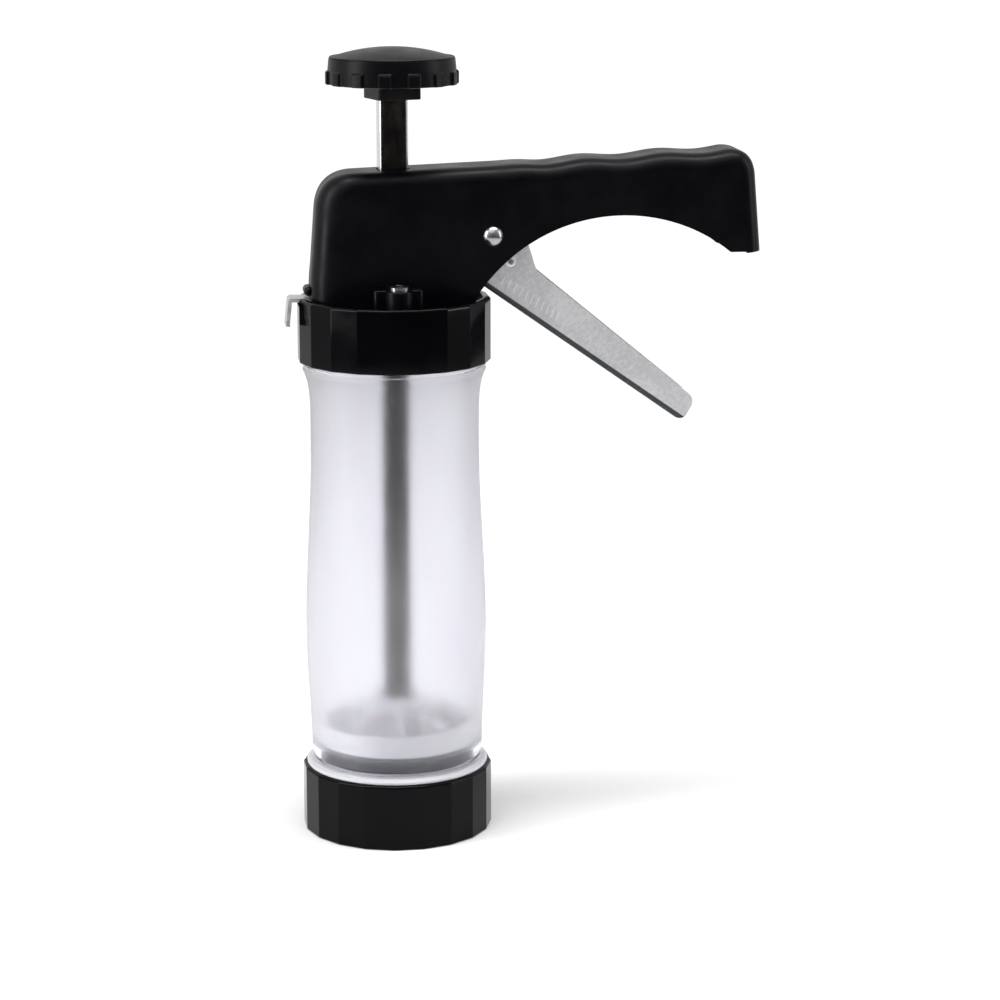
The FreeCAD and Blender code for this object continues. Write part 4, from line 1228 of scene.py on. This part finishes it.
# --------------------------------------------------------------------------- head
@dataclass
class HeadShell:
    """One moulded shell: the head over the rod and the handle with its finger waves."""

    half_width: float = 12.0
    wall: float = 2.4
    edge: float = 5.0
    back_edge: float = 8.6
    back_lean: float = 2.7
    corner: float = 12.0
    end_corner: float = 8.5
    end_lean: float = 2.8
    crown_rise: float = 2.2
    climb: float = 0.056
    wave: float = 0.5
    wave_length: float = 25.0
    wave_crest_x: float = 60.5
    wave_start_x: float = 40.0
    arch_radius: float = 56.0
    arch_centre: tuple[float, float] = (71.98, 145.7)
    foot_front_x: float = 24.075
    end_low_z: float = 189.4
    back_x: float = -26.909
    crown_drop: float = 6.1
    arch_end_x: float = 107.0
    columns: int = 420
    rod_gap: float = 0.3
    slot_rise: float = 2.75
    slot_half: float = 4.9
    ear_half: float = 8.0
    ear_reach: float = 4.6
    ear_rise: float = 6.7
    boss: float = 4.4
    web_drop: float = 1.95
    web_depth: float = 1.9
    rib: float = 1.8
    stop_rise: float = 4.75
    stop_radius: float = 1.5
    crease: float = 28.0
    foot_z: float = field(init=False)
    top_z: float = field(init=False)
    end_x: float = field(init=False)
    crown_z: float = field(init=False)

    def __post_init__(self) -> None:
        """Take the shell's reach from the frame."""
        low, high = node_box("head_housing")
        self.foot_z = low[2]
        self.top_z = high[2]
        self.end_x = high[0]
        self.crown_z = self.top_z - self.crown_drop

    def top_line(self, x: Grid) -> Grid:
        """Height of the handle's top: a gentle climb with a cosine wave for the fingers.

        Past the start of the waves the height is the crown plus the climb times the way plus the
        wave times cos(2 pi (x - crest) / length), which fades in over the first crest.

        Args:
            x: places along the handle.

        Returns:
            One height for each place.
        """
        rise = self.crown_rise * np.clip((x + 16.0) / (self.wave_start_x + 16.0), 0.0, 1.0)
        climb = self.climb * np.maximum(x - self.wave_start_x, 0.0)
        ripple = self.wave * np.cos(TURN * (x - self.wave_crest_x) / self.wave_length)
        fade = smooth_step(x, self.wave_start_x - 8.0, self.wave_start_x + 8.0)
        return self.crown_z - 0.2 + rise + climb + ripple * fade

    def outline(self) -> Grid:
        """Side outline from the back of the foot, over the crown and down the handle's end.

        Straight runs meet in quadratic blends, the wavy top is sampled from its formula, and the
        whole is spread evenly by its length.

        Returns:
            Points of x and z.
        """
        back = self.back_x
        top_x = back + self.back_lean
        crown = float(self.top_line(np.array([top_x]))[0])
        end_top_x = self.end_x - self.end_lean
        end_top = float(self.top_line(np.array([end_top_x]))[0])
        s = np.linspace(0.0, 1.0, 40)[:, None]

        def blend(a: Sequence[float], p: Sequence[float], b: Sequence[float]) -> Grid:
            """Quadratic blend from a to b, drawn towards p."""
            return (1 - s) ** 2 * np.array(a) + 2 * s * (1 - s) * np.array(p) + s**2 * np.array(b)

        foot = self.foot_z
        lean_x, lean_z = back + 0.5, foot + 13.0
        first = blend((back, foot + 6.0), (back, foot + 9.0), (lean_x, lean_z))
        lean = (top_x - lean_x) / (crown - lean_z)
        corner_low = (top_x - lean * self.corner, crown - self.corner)
        corner_high_x = top_x + self.corner
        corner_high = (corner_high_x, float(self.top_line(np.array([corner_high_x]))[0]))
        corner = blend(corner_low, (top_x - 0.2, crown + 0.1), corner_high)
        x = np.linspace(corner_high_x, end_top_x - self.end_corner, 400)[1:]
        top = np.column_stack([x, self.top_line(x)])
        end_low = (end_top_x + self.end_lean * 0.28, end_top - self.end_corner)
        end = blend(top[-1], (end_top_x - 0.1, end_top + 0.1), end_low)
        path = np.concatenate(
            [[(back, self.foot_z)], first, corner, top, end[1:], [(self.end_x, self.end_low_z)]]
        )
        return self.spread(path, self.columns)

    @staticmethod
    def spread(path: Grid, count: int) -> Grid:
        """Points evenly spaced by length along a path.

        Args:
            path: points by two.
            count: how many points to return.

        Returns:
            The new points, count by two.
        """
        run = np.concatenate([[0.0], np.cumsum(np.linalg.norm(np.diff(path, axis=0), axis=1))])
        keep = np.concatenate([[True], np.diff(run) > 1e-9])
        wanted = np.linspace(0.0, run[-1], count)
        return np.column_stack([np.interp(wanted, run[keep], path[keep, k]) for k in (0, 1)])

    def underside(self, start: Grid, end: Grid) -> Grid:
        """Lower edge of the cheeks: along the foot, round the arch and out to the handle's end.

        Args:
            start: where it begins, as x and z.
            end: where it ends, as x and z.

        Returns:
            Points of x and z, spread evenly by length.
        """
        centre_x, centre_z = self.arch_centre
        foot_z = self.foot_z + 1.4
        first = math.atan2(foot_z - centre_z, self.foot_front_x - centre_x)
        last = math.acos((self.arch_end_x - centre_x) / self.arch_radius)
        angle = np.linspace(first, last, 240)
        round_ = np.column_stack([np.cos(angle), np.sin(angle)])
        arch = np.array(self.arch_centre) + self.arch_radius * round_
        path = np.concatenate([[start], [(self.foot_front_x, self.foot_z)], arch, [end]])
        return self.spread(path, self.columns)

    def shell(self, inset: float) -> Grid:
        """One face of the shell as a grid from one cheek's lower edge to the other's.

        Across the shell, each column climbs a flat cheek, turns a quarter round of the edge radius
        r, with y = (h - r) + r cos t and depth r (1 - sin t) below the outline, crosses the flat
        top and comes down the other side. The edge radius swells from the handle's to the back's.

        Args:
            inset: how far the face lies inside the outline, 0 for the outer one.

        Returns:
            Grid of points, rows by columns by three.
        """
        outline = self.outline()
        along = np.gradient(outline, axis=0)
        along /= np.linalg.norm(along, axis=1, keepdims=True)
        inward = np.column_stack([along[:, 1], -along[:, 0]])
        back_share = 1.0 - smooth_step(outline[:, 0], self.back_x + 1.0, self.back_x + 16.0)
        edge = self.edge + (self.back_edge - self.edge) * back_share - inset
        skin_line = outline + inward * inset
        deep_line = outline + inward * (edge + inset)[:, None]
        start = np.array([deep_line[0, 0], self.foot_z])
        end = np.array([deep_line[-1, 0], self.end_low_z])
        lower = self.underside(start, end)
        half = self.half_width - inset
        climb = np.linspace(0.0, 1.0, 18)[:, None, None]
        cheek = lower[None] + (deep_line - lower)[None] * climb
        bend = np.linspace(0.0, math.pi / 2, 14)[1:, None, None]
        curl = skin_line[None] + (inward * edge[:, None])[None] * (1.0 - np.sin(bend))
        side = np.concatenate([cheek, curl])
        y_cheek = np.full((18, self.columns), half)
        y_curl = (half - edge)[None] + edge[None] * np.cos(bend[:, :, 0])
        y = np.concatenate([y_cheek, y_curl])
        near = np.stack([side[..., 0], -y, side[..., 1]], axis=-1)
        far = np.stack([side[..., 0], y, side[..., 1]], axis=-1)
        cross = np.linspace(0.0, 1.0, 7)[1:-1, None, None]
        top = near[-1][None] + (far[-1] - near[-1])[None] * cross
        return np.concatenate([near, top, far[::-1]])

    def rod_outline(self) -> Grid:
        """Outline of the opening that the rod slides in.

        Returns:
            Points of x and y.
        """
        low, high = node_box("push_rod")
        gap = self.rod_gap
        return rectangle((low[0] - gap, low[1] - gap), (high[0] + gap, high[1] + gap))

    def build_shell(self, palette: Palette) -> None:
        """Join the outer and inner faces, close both ends and cut the openings.

        Args:
            palette: the finishes.
        """
        outer = self.shell(0.0)
        inner = self.shell(self.wall)
        skin = Skin("head_shell")
        skin.add(np.concatenate([outer, inner[::-1]]), wrap_rows=True)
        for column in (0, -1):
            skin.add(np.stack([outer[:, column], inner[:, column]], axis=1))
        piece = skin.build(self.crease)
        hole = Skin("rod_opening")
        block = upright(self.rod_outline(), self.crown_z - 8.0, self.top_z + 4.0, 0.01)
        hole.add(block, wrap_columns=True)
        slot = Skin("lever_slot")
        half = self.slot_half
        outline = rectangle((self.back_x - 3.0, -half), (self.back_x + self.wall + 0.8, half))
        block = upright(outline, self.foot_z - 1.0, self.foot_z + self.slot_rise, 0.01)
        slot.add(block, wrap_columns=True)
        carve(piece, [hole, slot], self.crease)
        settle(piece, palette.housing, Body.HEAD, ["head_housing"])

    def build_ears(self, palette: Palette) -> None:
        """Screw ears on both sides of the foot: a wing against the cheek and a round boss.

        Args:
            palette: the finishes.
        """
        skin = Skin("head_ears")
        screw_y = node_box("collar_screws")[1][1] - 3.0
        top = self.foot_z + self.ear_rise
        half = self.ear_half
        for side in (-1, 1):
            near = (self.half_width - 1.2) * side
            far = (self.half_width + self.ear_reach) * side
            corners = [[-half, near], [half, near], [half, far], [-half, far]]
            wing = eased(corners, [0.1, 0.1, 2.2, 2.2], 7)
            skin.add(upright(wing, self.foot_z, top - 0.15, 0.6), wrap_columns=True)
            ring = around(48)
            disc = np.column_stack([np.cos(ring), np.sin(ring)])
            boss = np.array([0.0, side * screw_y]) + self.boss * disc
            skin.add(upright(boss, self.foot_z, top, 0.5), wrap_columns=True)
        settle(skin.build(), palette.housing, Body.HEAD, ["head_housing"])

    def build_inside(self, palette: Palette) -> None:
        """Inner web round the rod, the rib that the lock plate tips on, and the thumb stop.

        Args:
            palette: the finishes.
        """
        skin = Skin("head_web")
        web_low = node_box("drive_spring")[0][2] - self.web_drop
        lever_end = node_box("release_lever")[1][0] + 0.4
        half = self.half_width - self.wall + 0.2
        outer = rectangle((self.back_x + 4.8, -half), (lever_end + self.rib, half))
        plate = holed_plate(outer, self.rod_outline(), web_low, web_low + self.web_depth)
        skin.add(plate, wrap_rows=True, wrap_columns=True)
        rib = rectangle((lever_end, -half), (lever_end + self.rib, half))
        skin.add(upright(rib, self.foot_z, web_low + 0.4, 0.05), wrap_columns=True)
        stop_z = self.foot_z + self.stop_rise
        along = np.array([-4.5, -4.35, -3.9, -3.2, -2.4, 2.4, 3.2, 3.9, 4.35, 4.5])
        past = np.clip((np.abs(along) - 3.0) / self.stop_radius, 0.0, 1.0)
        swell = self.stop_radius * np.sqrt(1.0 - past**2)
        ring = around(24)
        x = self.back_x - 0.5 + swell[:, None] * np.cos(ring)
        z = stop_z + swell[:, None] * np.sin(ring)
        y = np.broadcast_to(along[:, None], x.shape)
        skin.add(np.stack([x, y, z], axis=-1), wrap_columns=True)
        settle(skin.build(), palette.housing, Body.HEAD, ["head_housing"])

    def build(self, palette: Palette) -> None:
        """Build the shell and what is moulded with it.

        Args:
            palette: the finishes.
        """
        self.build_shell(palette)
        self.build_ears(palette)
        self.build_inside(palette)


# --------------------------------------------------------------------------- knob
@dataclass(frozen=True)
class Knob:
    """Push knob: a domed lid on a skirt with fourteen grip lugs, and a square hub."""

    radius: float = 20.3
    lug_rise: float = 0.8
    lugs: int = 14
    lug_width: float = 4.0
    lug_height: float = 4.4
    lug_phase: float = 14.2
    wall: float = 2.0
    skirt: float = 8.2
    hub_side: float = 14.2
    hub_turn: float = 16.5
    hub_drop: float = 4.7
    dome: float = 3.4

    def lug_share(self, angles: Grid) -> Grid:
        """How far each column is on a lug: 1 on it, 0 between, with steep smooth flanks.

        Args:
            angles: angle of each column.

        Returns:
            One share for each angle.
        """
        pitch = TURN / self.lugs
        start = math.radians(self.lug_phase - 90.0)
        off = np.abs(np.mod(angles - start + pitch / 2, pitch) - pitch / 2) * self.radius
        return 1.0 - smooth_step(off, self.lug_width / 2 - 0.35, self.lug_width / 2 + 0.15)

    def build_grip(self, palette: Palette) -> None:
        """Skirt with lugs, the web inside it and the square hub round the rod.

        Args:
            palette: the finishes.
        """
        low, high = node_box("knob_body")
        base = low[2] + self.hub_drop
        top = base + self.skirt
        web = node_box("push_rod")[1][2]
        angles = around(self.lugs * 36)
        rise = np.array([0.0, 0.1, 0.3, 1.2, 2.6, 3.7, 4.1, 4.3, 4.5, 4.9, 6.0])
        level = np.concatenate([base + rise, top - np.array([0.6, 0.3, 0.1, 0.0])])
        plain = self.radius - 0.3 * smooth_step(level, base + 4.0, top)
        plain = plain - np.array([0.35, 0.12, 0.0] + [0.0] * 9 + [0.03, 0.1, 0.3])
        envelope = 1.0 - smooth_step(level, base + 3.9, base + self.lug_height + 0.1)
        outside = plain[:, None] + self.lug_rise * envelope[:, None] * self.lug_share(angles)[None]
        inner = self.radius - self.wall
        section = np.array(
            [[inner, top], [inner, web + 2.0], [3.2, web + 2.0], [3.2, web], [inner, web],
             [inner, base + 0.3], [inner + 0.3, base]]
        )
        inside = np.broadcast_to(section[:, :1], (len(section), len(angles)))
        skin = Skin("knob_grip")
        height = np.concatenate([level, section[:, 1]])
        grid = turned(np.concatenate([outside, inside]), height, angles)
        skin.add(grid, wrap_rows=True, wrap_columns=True)
        rod_high = node_box("push_rod")[1]
        ring = around(144)
        half = self.hub_side / 2
        body = rounded_square(ring - math.radians(self.hub_turn), half, half, 18.0)
        socket = rounded_square(ring, rod_high[0], rod_high[1], 40.0)
        hub_low = low[2]
        rows = [body - 0.3, body - 0.08, body, body, socket, socket]
        heights = [hub_low, hub_low + 0.08, hub_low + 0.3, web + 0.5, web + 0.5, hub_low]
        skin.add(turned(np.stack(rows), np.array(heights), ring), wrap_rows=True, wrap_columns=True)
        settle(skin.build(26.0), palette.knob, Body.PLUNGER, ["knob_body"])

    def build_lid(self, palette: Palette) -> None:
        """Domed lid: height follows a circle's arc, and the rim rolls over to the skirt.

        Args:
            palette: the finishes.
        """
        high = node_box("knob_cap")[1][2]
        seat = high - self.dome
        rim = self.radius - 0.45
        arc = (rim**2 + self.dome**2) / (2 * self.dome)
        r = np.linspace(0.0, rim - 0.5, 26)
        crown = high - (arc - np.sqrt(arc**2 - r**2))
        roll = np.array([[rim - 0.22, 0.42], [rim - 0.04, 0.24], [rim, 0.02]])
        foot = [[rim - 1.9, seat + 0.01], [0.0, seat + 0.01]]
        section = np.concatenate([np.column_stack([r, crown]), roll + [0.0, seat], foot])
        skin = Skin("knob_lid")
        skin.add(turned(section[:, 0], section[:, 1], around(160)), wrap_columns=True)
        settle(skin.build(24.0), palette.knob, Body.PLUNGER, ["knob_cap"])

    def build(self, palette: Palette) -> None:
        """Build the grip and its lid.

        Args:
            palette: the finishes.
        """
        self.build_grip(palette)
        self.build_lid(palette)


# --------------------------------------------------------------------------- trigger marks
@dataclass(frozen=True)
class TriggerMarks:
    """Row of slanted ticks cut in the near cheek of the trigger."""

    start: tuple[float, float] = (33.6, 179.6)
    slope: float = -0.677
    count: int = 11
    first_step: float = 2.3
    shrink: float = 0.98
    length: float = 3.2
    width: float = 0.3
    lean: float = 66.0
    proud: float = 0.03
    sunk: float = 0.2

    def build(self, palette: Palette) -> None:
        """Lay the ticks along the cheek; each is a slim bar with eased ends.

        The nth tick stands the sum of the first n steps along the cheek, and each step is the
        one before times the shrink.

        Args:
            palette: the finishes.
        """
        cheek = node_box("trigger")[0][1]
        along = np.array([1.0, self.slope]) / math.hypot(1.0, self.slope)
        steps = self.first_step * self.shrink ** np.arange(self.count)
        reach = np.concatenate([[0.0], np.cumsum(steps)[:-1]])
        lean = math.radians(self.lean)
        up = np.array([math.cos(lean), math.sin(lean)])
        side = np.array([up[1], -up[0]])
        half = self.width / 2
        corners = [[0.0, -half], [self.length, -half], [self.length, half], [0.0, half]]
        bar = eased(corners, [0.14] * 4, 4)
        skin = Skin("trigger_ticks")
        for offset in reach:
            foot = np.array(self.start) + along * offset
            flat = foot + bar[:, :1] * up + bar[:, 1:] * side
            lying = upright(flat, -cheek - self.sunk, -cheek + self.proud, 0.02)
            tick = np.stack([lying[..., 0], -lying[..., 2], lying[..., 1]], axis=-1)
            skin.add(tick, wrap_columns=True)
        settle(skin.build(), palette.etch, Body.TRIGGER)


# --------------------------------------------------------------------------- springs and eyelets
@dataclass(frozen=True)
class Springs:
    """The spring that lifts the drive plate and the small one that lifts the lock plate."""

    drive_wire: float = 0.9
    drive_travel: float = 8.4
    release_wire: float = 0.5
    release_travel: float = 0.84
    turns: float = 6.0

    def coil(self, name: str, node: str, wire: float) -> Skin:
        """Compression spring with closed end turns, inside a node's box.

        The middle of the wire is (R cos a, R sin a, z), where a runs over all turns with s from 0
        to 1 and z rises by the share s - 0.12 sin(2 pi s), so the end turns lie close. The wire's
        section is a circle in the plane of the radial direction and the one square to the wire.

        Args:
            name: the piece's name.
            node: the node whose box it fills.
            wire: diameter of the wire.

        Returns:
            The skin of the coil.
        """
        low, high = node_box(node)
        centre = (low + high) / 2
        mean = (high[1] - low[1]) / 2 - wire / 2
        s = np.linspace(0.0, 1.0, int(self.turns * 44))
        angle = TURN * self.turns * s
        rise = high[2] - low[2] - wire
        z = low[2] + wire / 2 + rise * (s - 0.12 * np.sin(TURN * s))
        radial = np.stack([np.cos(angle), np.sin(angle), np.zeros_like(angle)], axis=1)
        middle = np.array([centre[0], centre[1], 0.0]) + mean * radial
        middle[:, 2] = z
        along = np.gradient(middle, axis=0)
        along /= np.linalg.norm(along, axis=1, keepdims=True)
        square = np.cross(along, radial)
        ring = around(12)[None, :, None]
        section = np.cos(ring) * radial[:, None] + np.sin(ring) * square[:, None]
        tube = middle[:, None] + section * wire / 2
        ends = [np.repeat(middle[k : k + 1, None], 12, axis=1) for k in (0, len(s) - 1)]
        skin = Skin(name)
        skin.add(np.concatenate([ends[0], tube, ends[1]]), wrap_columns=True)
        return skin

    def build(self, palette: Palette) -> None:
        """Make both springs.

        Args:
            palette: the finishes.
        """
        drive = (self.drive_wire, "drive_plate_push", self.drive_travel)
        release = (self.release_wire, "release_press", self.release_travel)
        rows = [
            ("lift_spring", "drive_spring", *drive),
            ("lock_spring", "release_spring", *release),
        ]
        for name, node, wire, joint, travel in rows:
            piece = self.coil(name, node, wire).build(60.0)
            settle(piece, palette.wire, Body.HEAD, [node])
            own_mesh(piece)


@dataclass(frozen=True)
class Eyelets:
    """Rolled eyelets in both cheeks of the trigger."""

    hole: float = 0.8
    flange: float = 1.75

    def build(self, palette: Palette) -> None:
        """Turn the eyelet's section round the Y axis, once for each cheek.

        Args:
            palette: the finishes.
        """
        low, high = node_box("trigger_eyelets")
        centre = (low + high) / 2
        top = high[1]
        hole, edge = self.hole, self.flange
        section = np.array(
            [[hole, top - 1.6], [hole, top - 0.2], [hole + 0.12, top - 0.05], [hole + 0.35, top],
             [edge - 0.4, top - 0.01], [edge - 0.1, top - 0.1], [edge, top - 0.25],
             [edge, top - 0.4], [hole + 0.4, top - 0.4], [hole + 0.4, top - 1.6]]
        )
        spun = turned(section[:, 0], section[:, 1], around(40))
        skin = Skin("eyelet_rings")
        for side in (-1.0, 1.0):
            place = [centre[0] + spun[..., 0], side * spun[..., 2], centre[2] + spun[..., 1]]
            skin.add(np.stack(place, axis=-1), wrap_rows=True, wrap_columns=True)
        settle(skin.build(), palette.eyelet, Body.TRIGGER, ["trigger_eyelets"])


# --------------------------------------------------------------------------- carried-over nodes
@dataclass(frozen=True)
class FrameParts:
    """Nodes of the frame whose shape stays, dressed in their finishes."""

    def build(self, palette: Palette) -> None:
        """Give each carried-over node its finish.

        Args:
            palette: the finishes.
        """
        finishes = {
            "shaping_disc": palette.disc,
            "top_gasket": palette.gasket,
            "collar_screws": palette.polished,
            "pivot_pin": palette.polished,
            "trigger": palette.sheet,
            "drive_plate": palette.plate,
            "release_lever": palette.lever,
            "push_rod": palette.rod,
            "piston_base": palette.piston,
            "piston_seal": palette.seal,
            "piston_top": palette.piston,
            "piston_screw": palette.polished,
            "knob_screw": palette.polished,
        }
        for name, material in finishes.items():
            dress(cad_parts[name], material)
            LOG.info("%s keeps its own mesh, dressed in %s", name, material.name)


# --------------------------------------------------------------------------- studio
@dataclass(frozen=True)
class Studio:
    """Pale floor, soft light and the camera."""

    azimuth: float = 5.5
    distance: float = 0.95
    camera_height: float = 0.31985
    heading: float = 7.5475
    pitch: float = 12.5308
    lens: float = 107.975
    floor_radius: float = 0.62
    bright_side: Colour = (0.0, 0.8, 0.6)
    dim_front: float = 0.15
    bright_back: float = 0.97
    seen_strength: float = 1.05
    sun_power: float = 0.8
    sun_spread: float = 60.0

    def camera(self) -> None:
        """Stand the camera before the press, a little above it and looking slightly down."""
        data = bpy.data.cameras.new("Camera")
        camera = bpy.data.objects.new("Camera", data)
        bpy.context.scene.collection.objects.link(camera)
        data.sensor_width = 36.0
        data.lens = self.lens
        data.clip_start = 0.02
        data.clip_end = 200.0
        turn = math.radians(self.azimuth)
        away = (-self.distance * math.sin(turn), -self.distance * math.cos(turn))
        camera.location = (*away, self.camera_height)
        heading = math.radians(self.heading)
        pitch = math.radians(self.pitch)
        level = math.cos(pitch)
        ahead = Vector((math.sin(heading) * level, math.cos(heading) * level, -math.sin(pitch)))
        camera.rotation_mode = "QUATERNION"
        camera.rotation_quaternion = ahead.to_track_quat("-Z", "Y")
        bpy.context.scene.camera = camera

    def floor(self) -> None:
        """Round sheet of paper just under the press: rings of growing radius."""
        radius = np.linspace(0.0, self.floor_radius / MM, 12)
        skin = Skin("paper_floor")
        skin.add(turned(radius, np.full(12, -0.15), around(96)), wrap_columns=True)
        piece = skin.build()
        dress(piece, Paper().make())
        piece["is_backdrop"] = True

    def softbox(self, name: str, place: Colour, size: tuple[float, float], power: float) -> None:
        """Rectangular soft light aimed at the middle of the press.

        Args:
            name: the light's name.
            place: where it stands, in metres.
            size: its width and height, in metres.
            power: its power in watts.
        """
        data = bpy.data.lights.new(name, "AREA")
        data.shape = "RECTANGLE"
        data.size, data.size_y = size
        data.energy = power
        light = bpy.data.objects.new(name, data)
        bpy.context.scene.collection.objects.link(light)
        light.location = place
        aim = Vector((0.02, 0.0, 0.15)) - Vector(place)
        light.rotation_mode = "QUATERNION"
        light.rotation_quaternion = aim.to_track_quat("-Z", "Y")

    def sky(self) -> None:
        """Even pale surround, dimmer in front of the press than behind it."""
        world = bpy.data.worlds.new("studio")
        bpy.context.scene.world = world
        world.use_nodes = True
        tree = world.node_tree
        tree.nodes.clear()
        output = tree.nodes.new("ShaderNodeOutputWorld")
        lit = tree.nodes.new("ShaderNodeBackground")
        seen = tree.nodes.new("ShaderNodeBackground")
        seen.inputs["Color"].default_value = (1.0, 1.0, 1.0, 1.0)
        seen.inputs["Strength"].default_value = self.seen_strength
        where = tree.nodes.new("ShaderNodeTexCoord")
        lean = tree.nodes.new("ShaderNodeVectorMath")
        lean.operation = "DOT_PRODUCT"
        lean.inputs[1].default_value = self.bright_side
        tree.links.new(where.outputs["Generated"], lean.inputs[0])
        ramp = tree.nodes.new("ShaderNodeMapRange")
        ramp.interpolation_type = "SMOOTHSTEP"
        for socket, number in zip(ramp.inputs[1:5], (-0.8, 0.3, self.dim_front, self.bright_back)):
            socket.default_value = number
        tree.links.new(lean.outputs["Value"], ramp.inputs[0])
        tree.links.new(ramp.outputs[0], lit.inputs["Strength"])
        pick = tree.nodes.new("ShaderNodeLightPath")
        blend = tree.nodes.new("ShaderNodeMixShader")
        tree.links.new(pick.outputs["Is Camera Ray"], blend.inputs[0])
        tree.links.new(lit.outputs[0], blend.inputs[1])
        tree.links.new(seen.outputs[0], blend.inputs[2])
        tree.links.new(blend.outputs[0], output.inputs[0])

    def build(self) -> None:
        """Set the camera, floor, surround and lights."""
        self.camera()
        self.floor()
        self.sky()
        self.softbox("left_softbox", (-0.8, -0.2, 0.42), (0.26, 0.8), 5.0)
        self.softbox("right_softbox", (0.85, -0.2, 0.45), (0.08, 0.7), 2.0)
        self.softbox("top_softbox", (0.03, -0.1, 1.0), (0.9, 0.16), 5.5)
        sun = bpy.data.lights.new("fill_sun", "SUN")
        sun.energy = self.sun_power
        sun.angle = math.radians(self.sun_spread)
        lamp = bpy.data.objects.new("fill_sun", sun)
        lamp.rotation_euler = (math.radians(18.0), math.radians(-12.0), 0.0)
        bpy.context.scene.collection.objects.link(lamp)
        bpy.context.scene.view_settings.view_transform = "Standard"


def corners() -> list[list[float]]:
    """Lowest and highest corner of the shown object, as plain lists."""
    return [list(corner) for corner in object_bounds()]


def main() -> None:
    """Build the press, sub-assembly by sub-assembly."""
    logging.basicConfig(level=logging.INFO, format="%(name)s: %(message)s")
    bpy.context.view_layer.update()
    Studio().build()
    palette = Palette()
    FrameParts().build(palette)
    Barrel().build(palette)
    Collars().build(palette)
    HeadShell().build(palette)
    Knob().build(palette)
    TriggerMarks().build(palette)
    Springs().build(palette)
    Eyelets().build(palette)


if __name__ == "__main__":
    main()
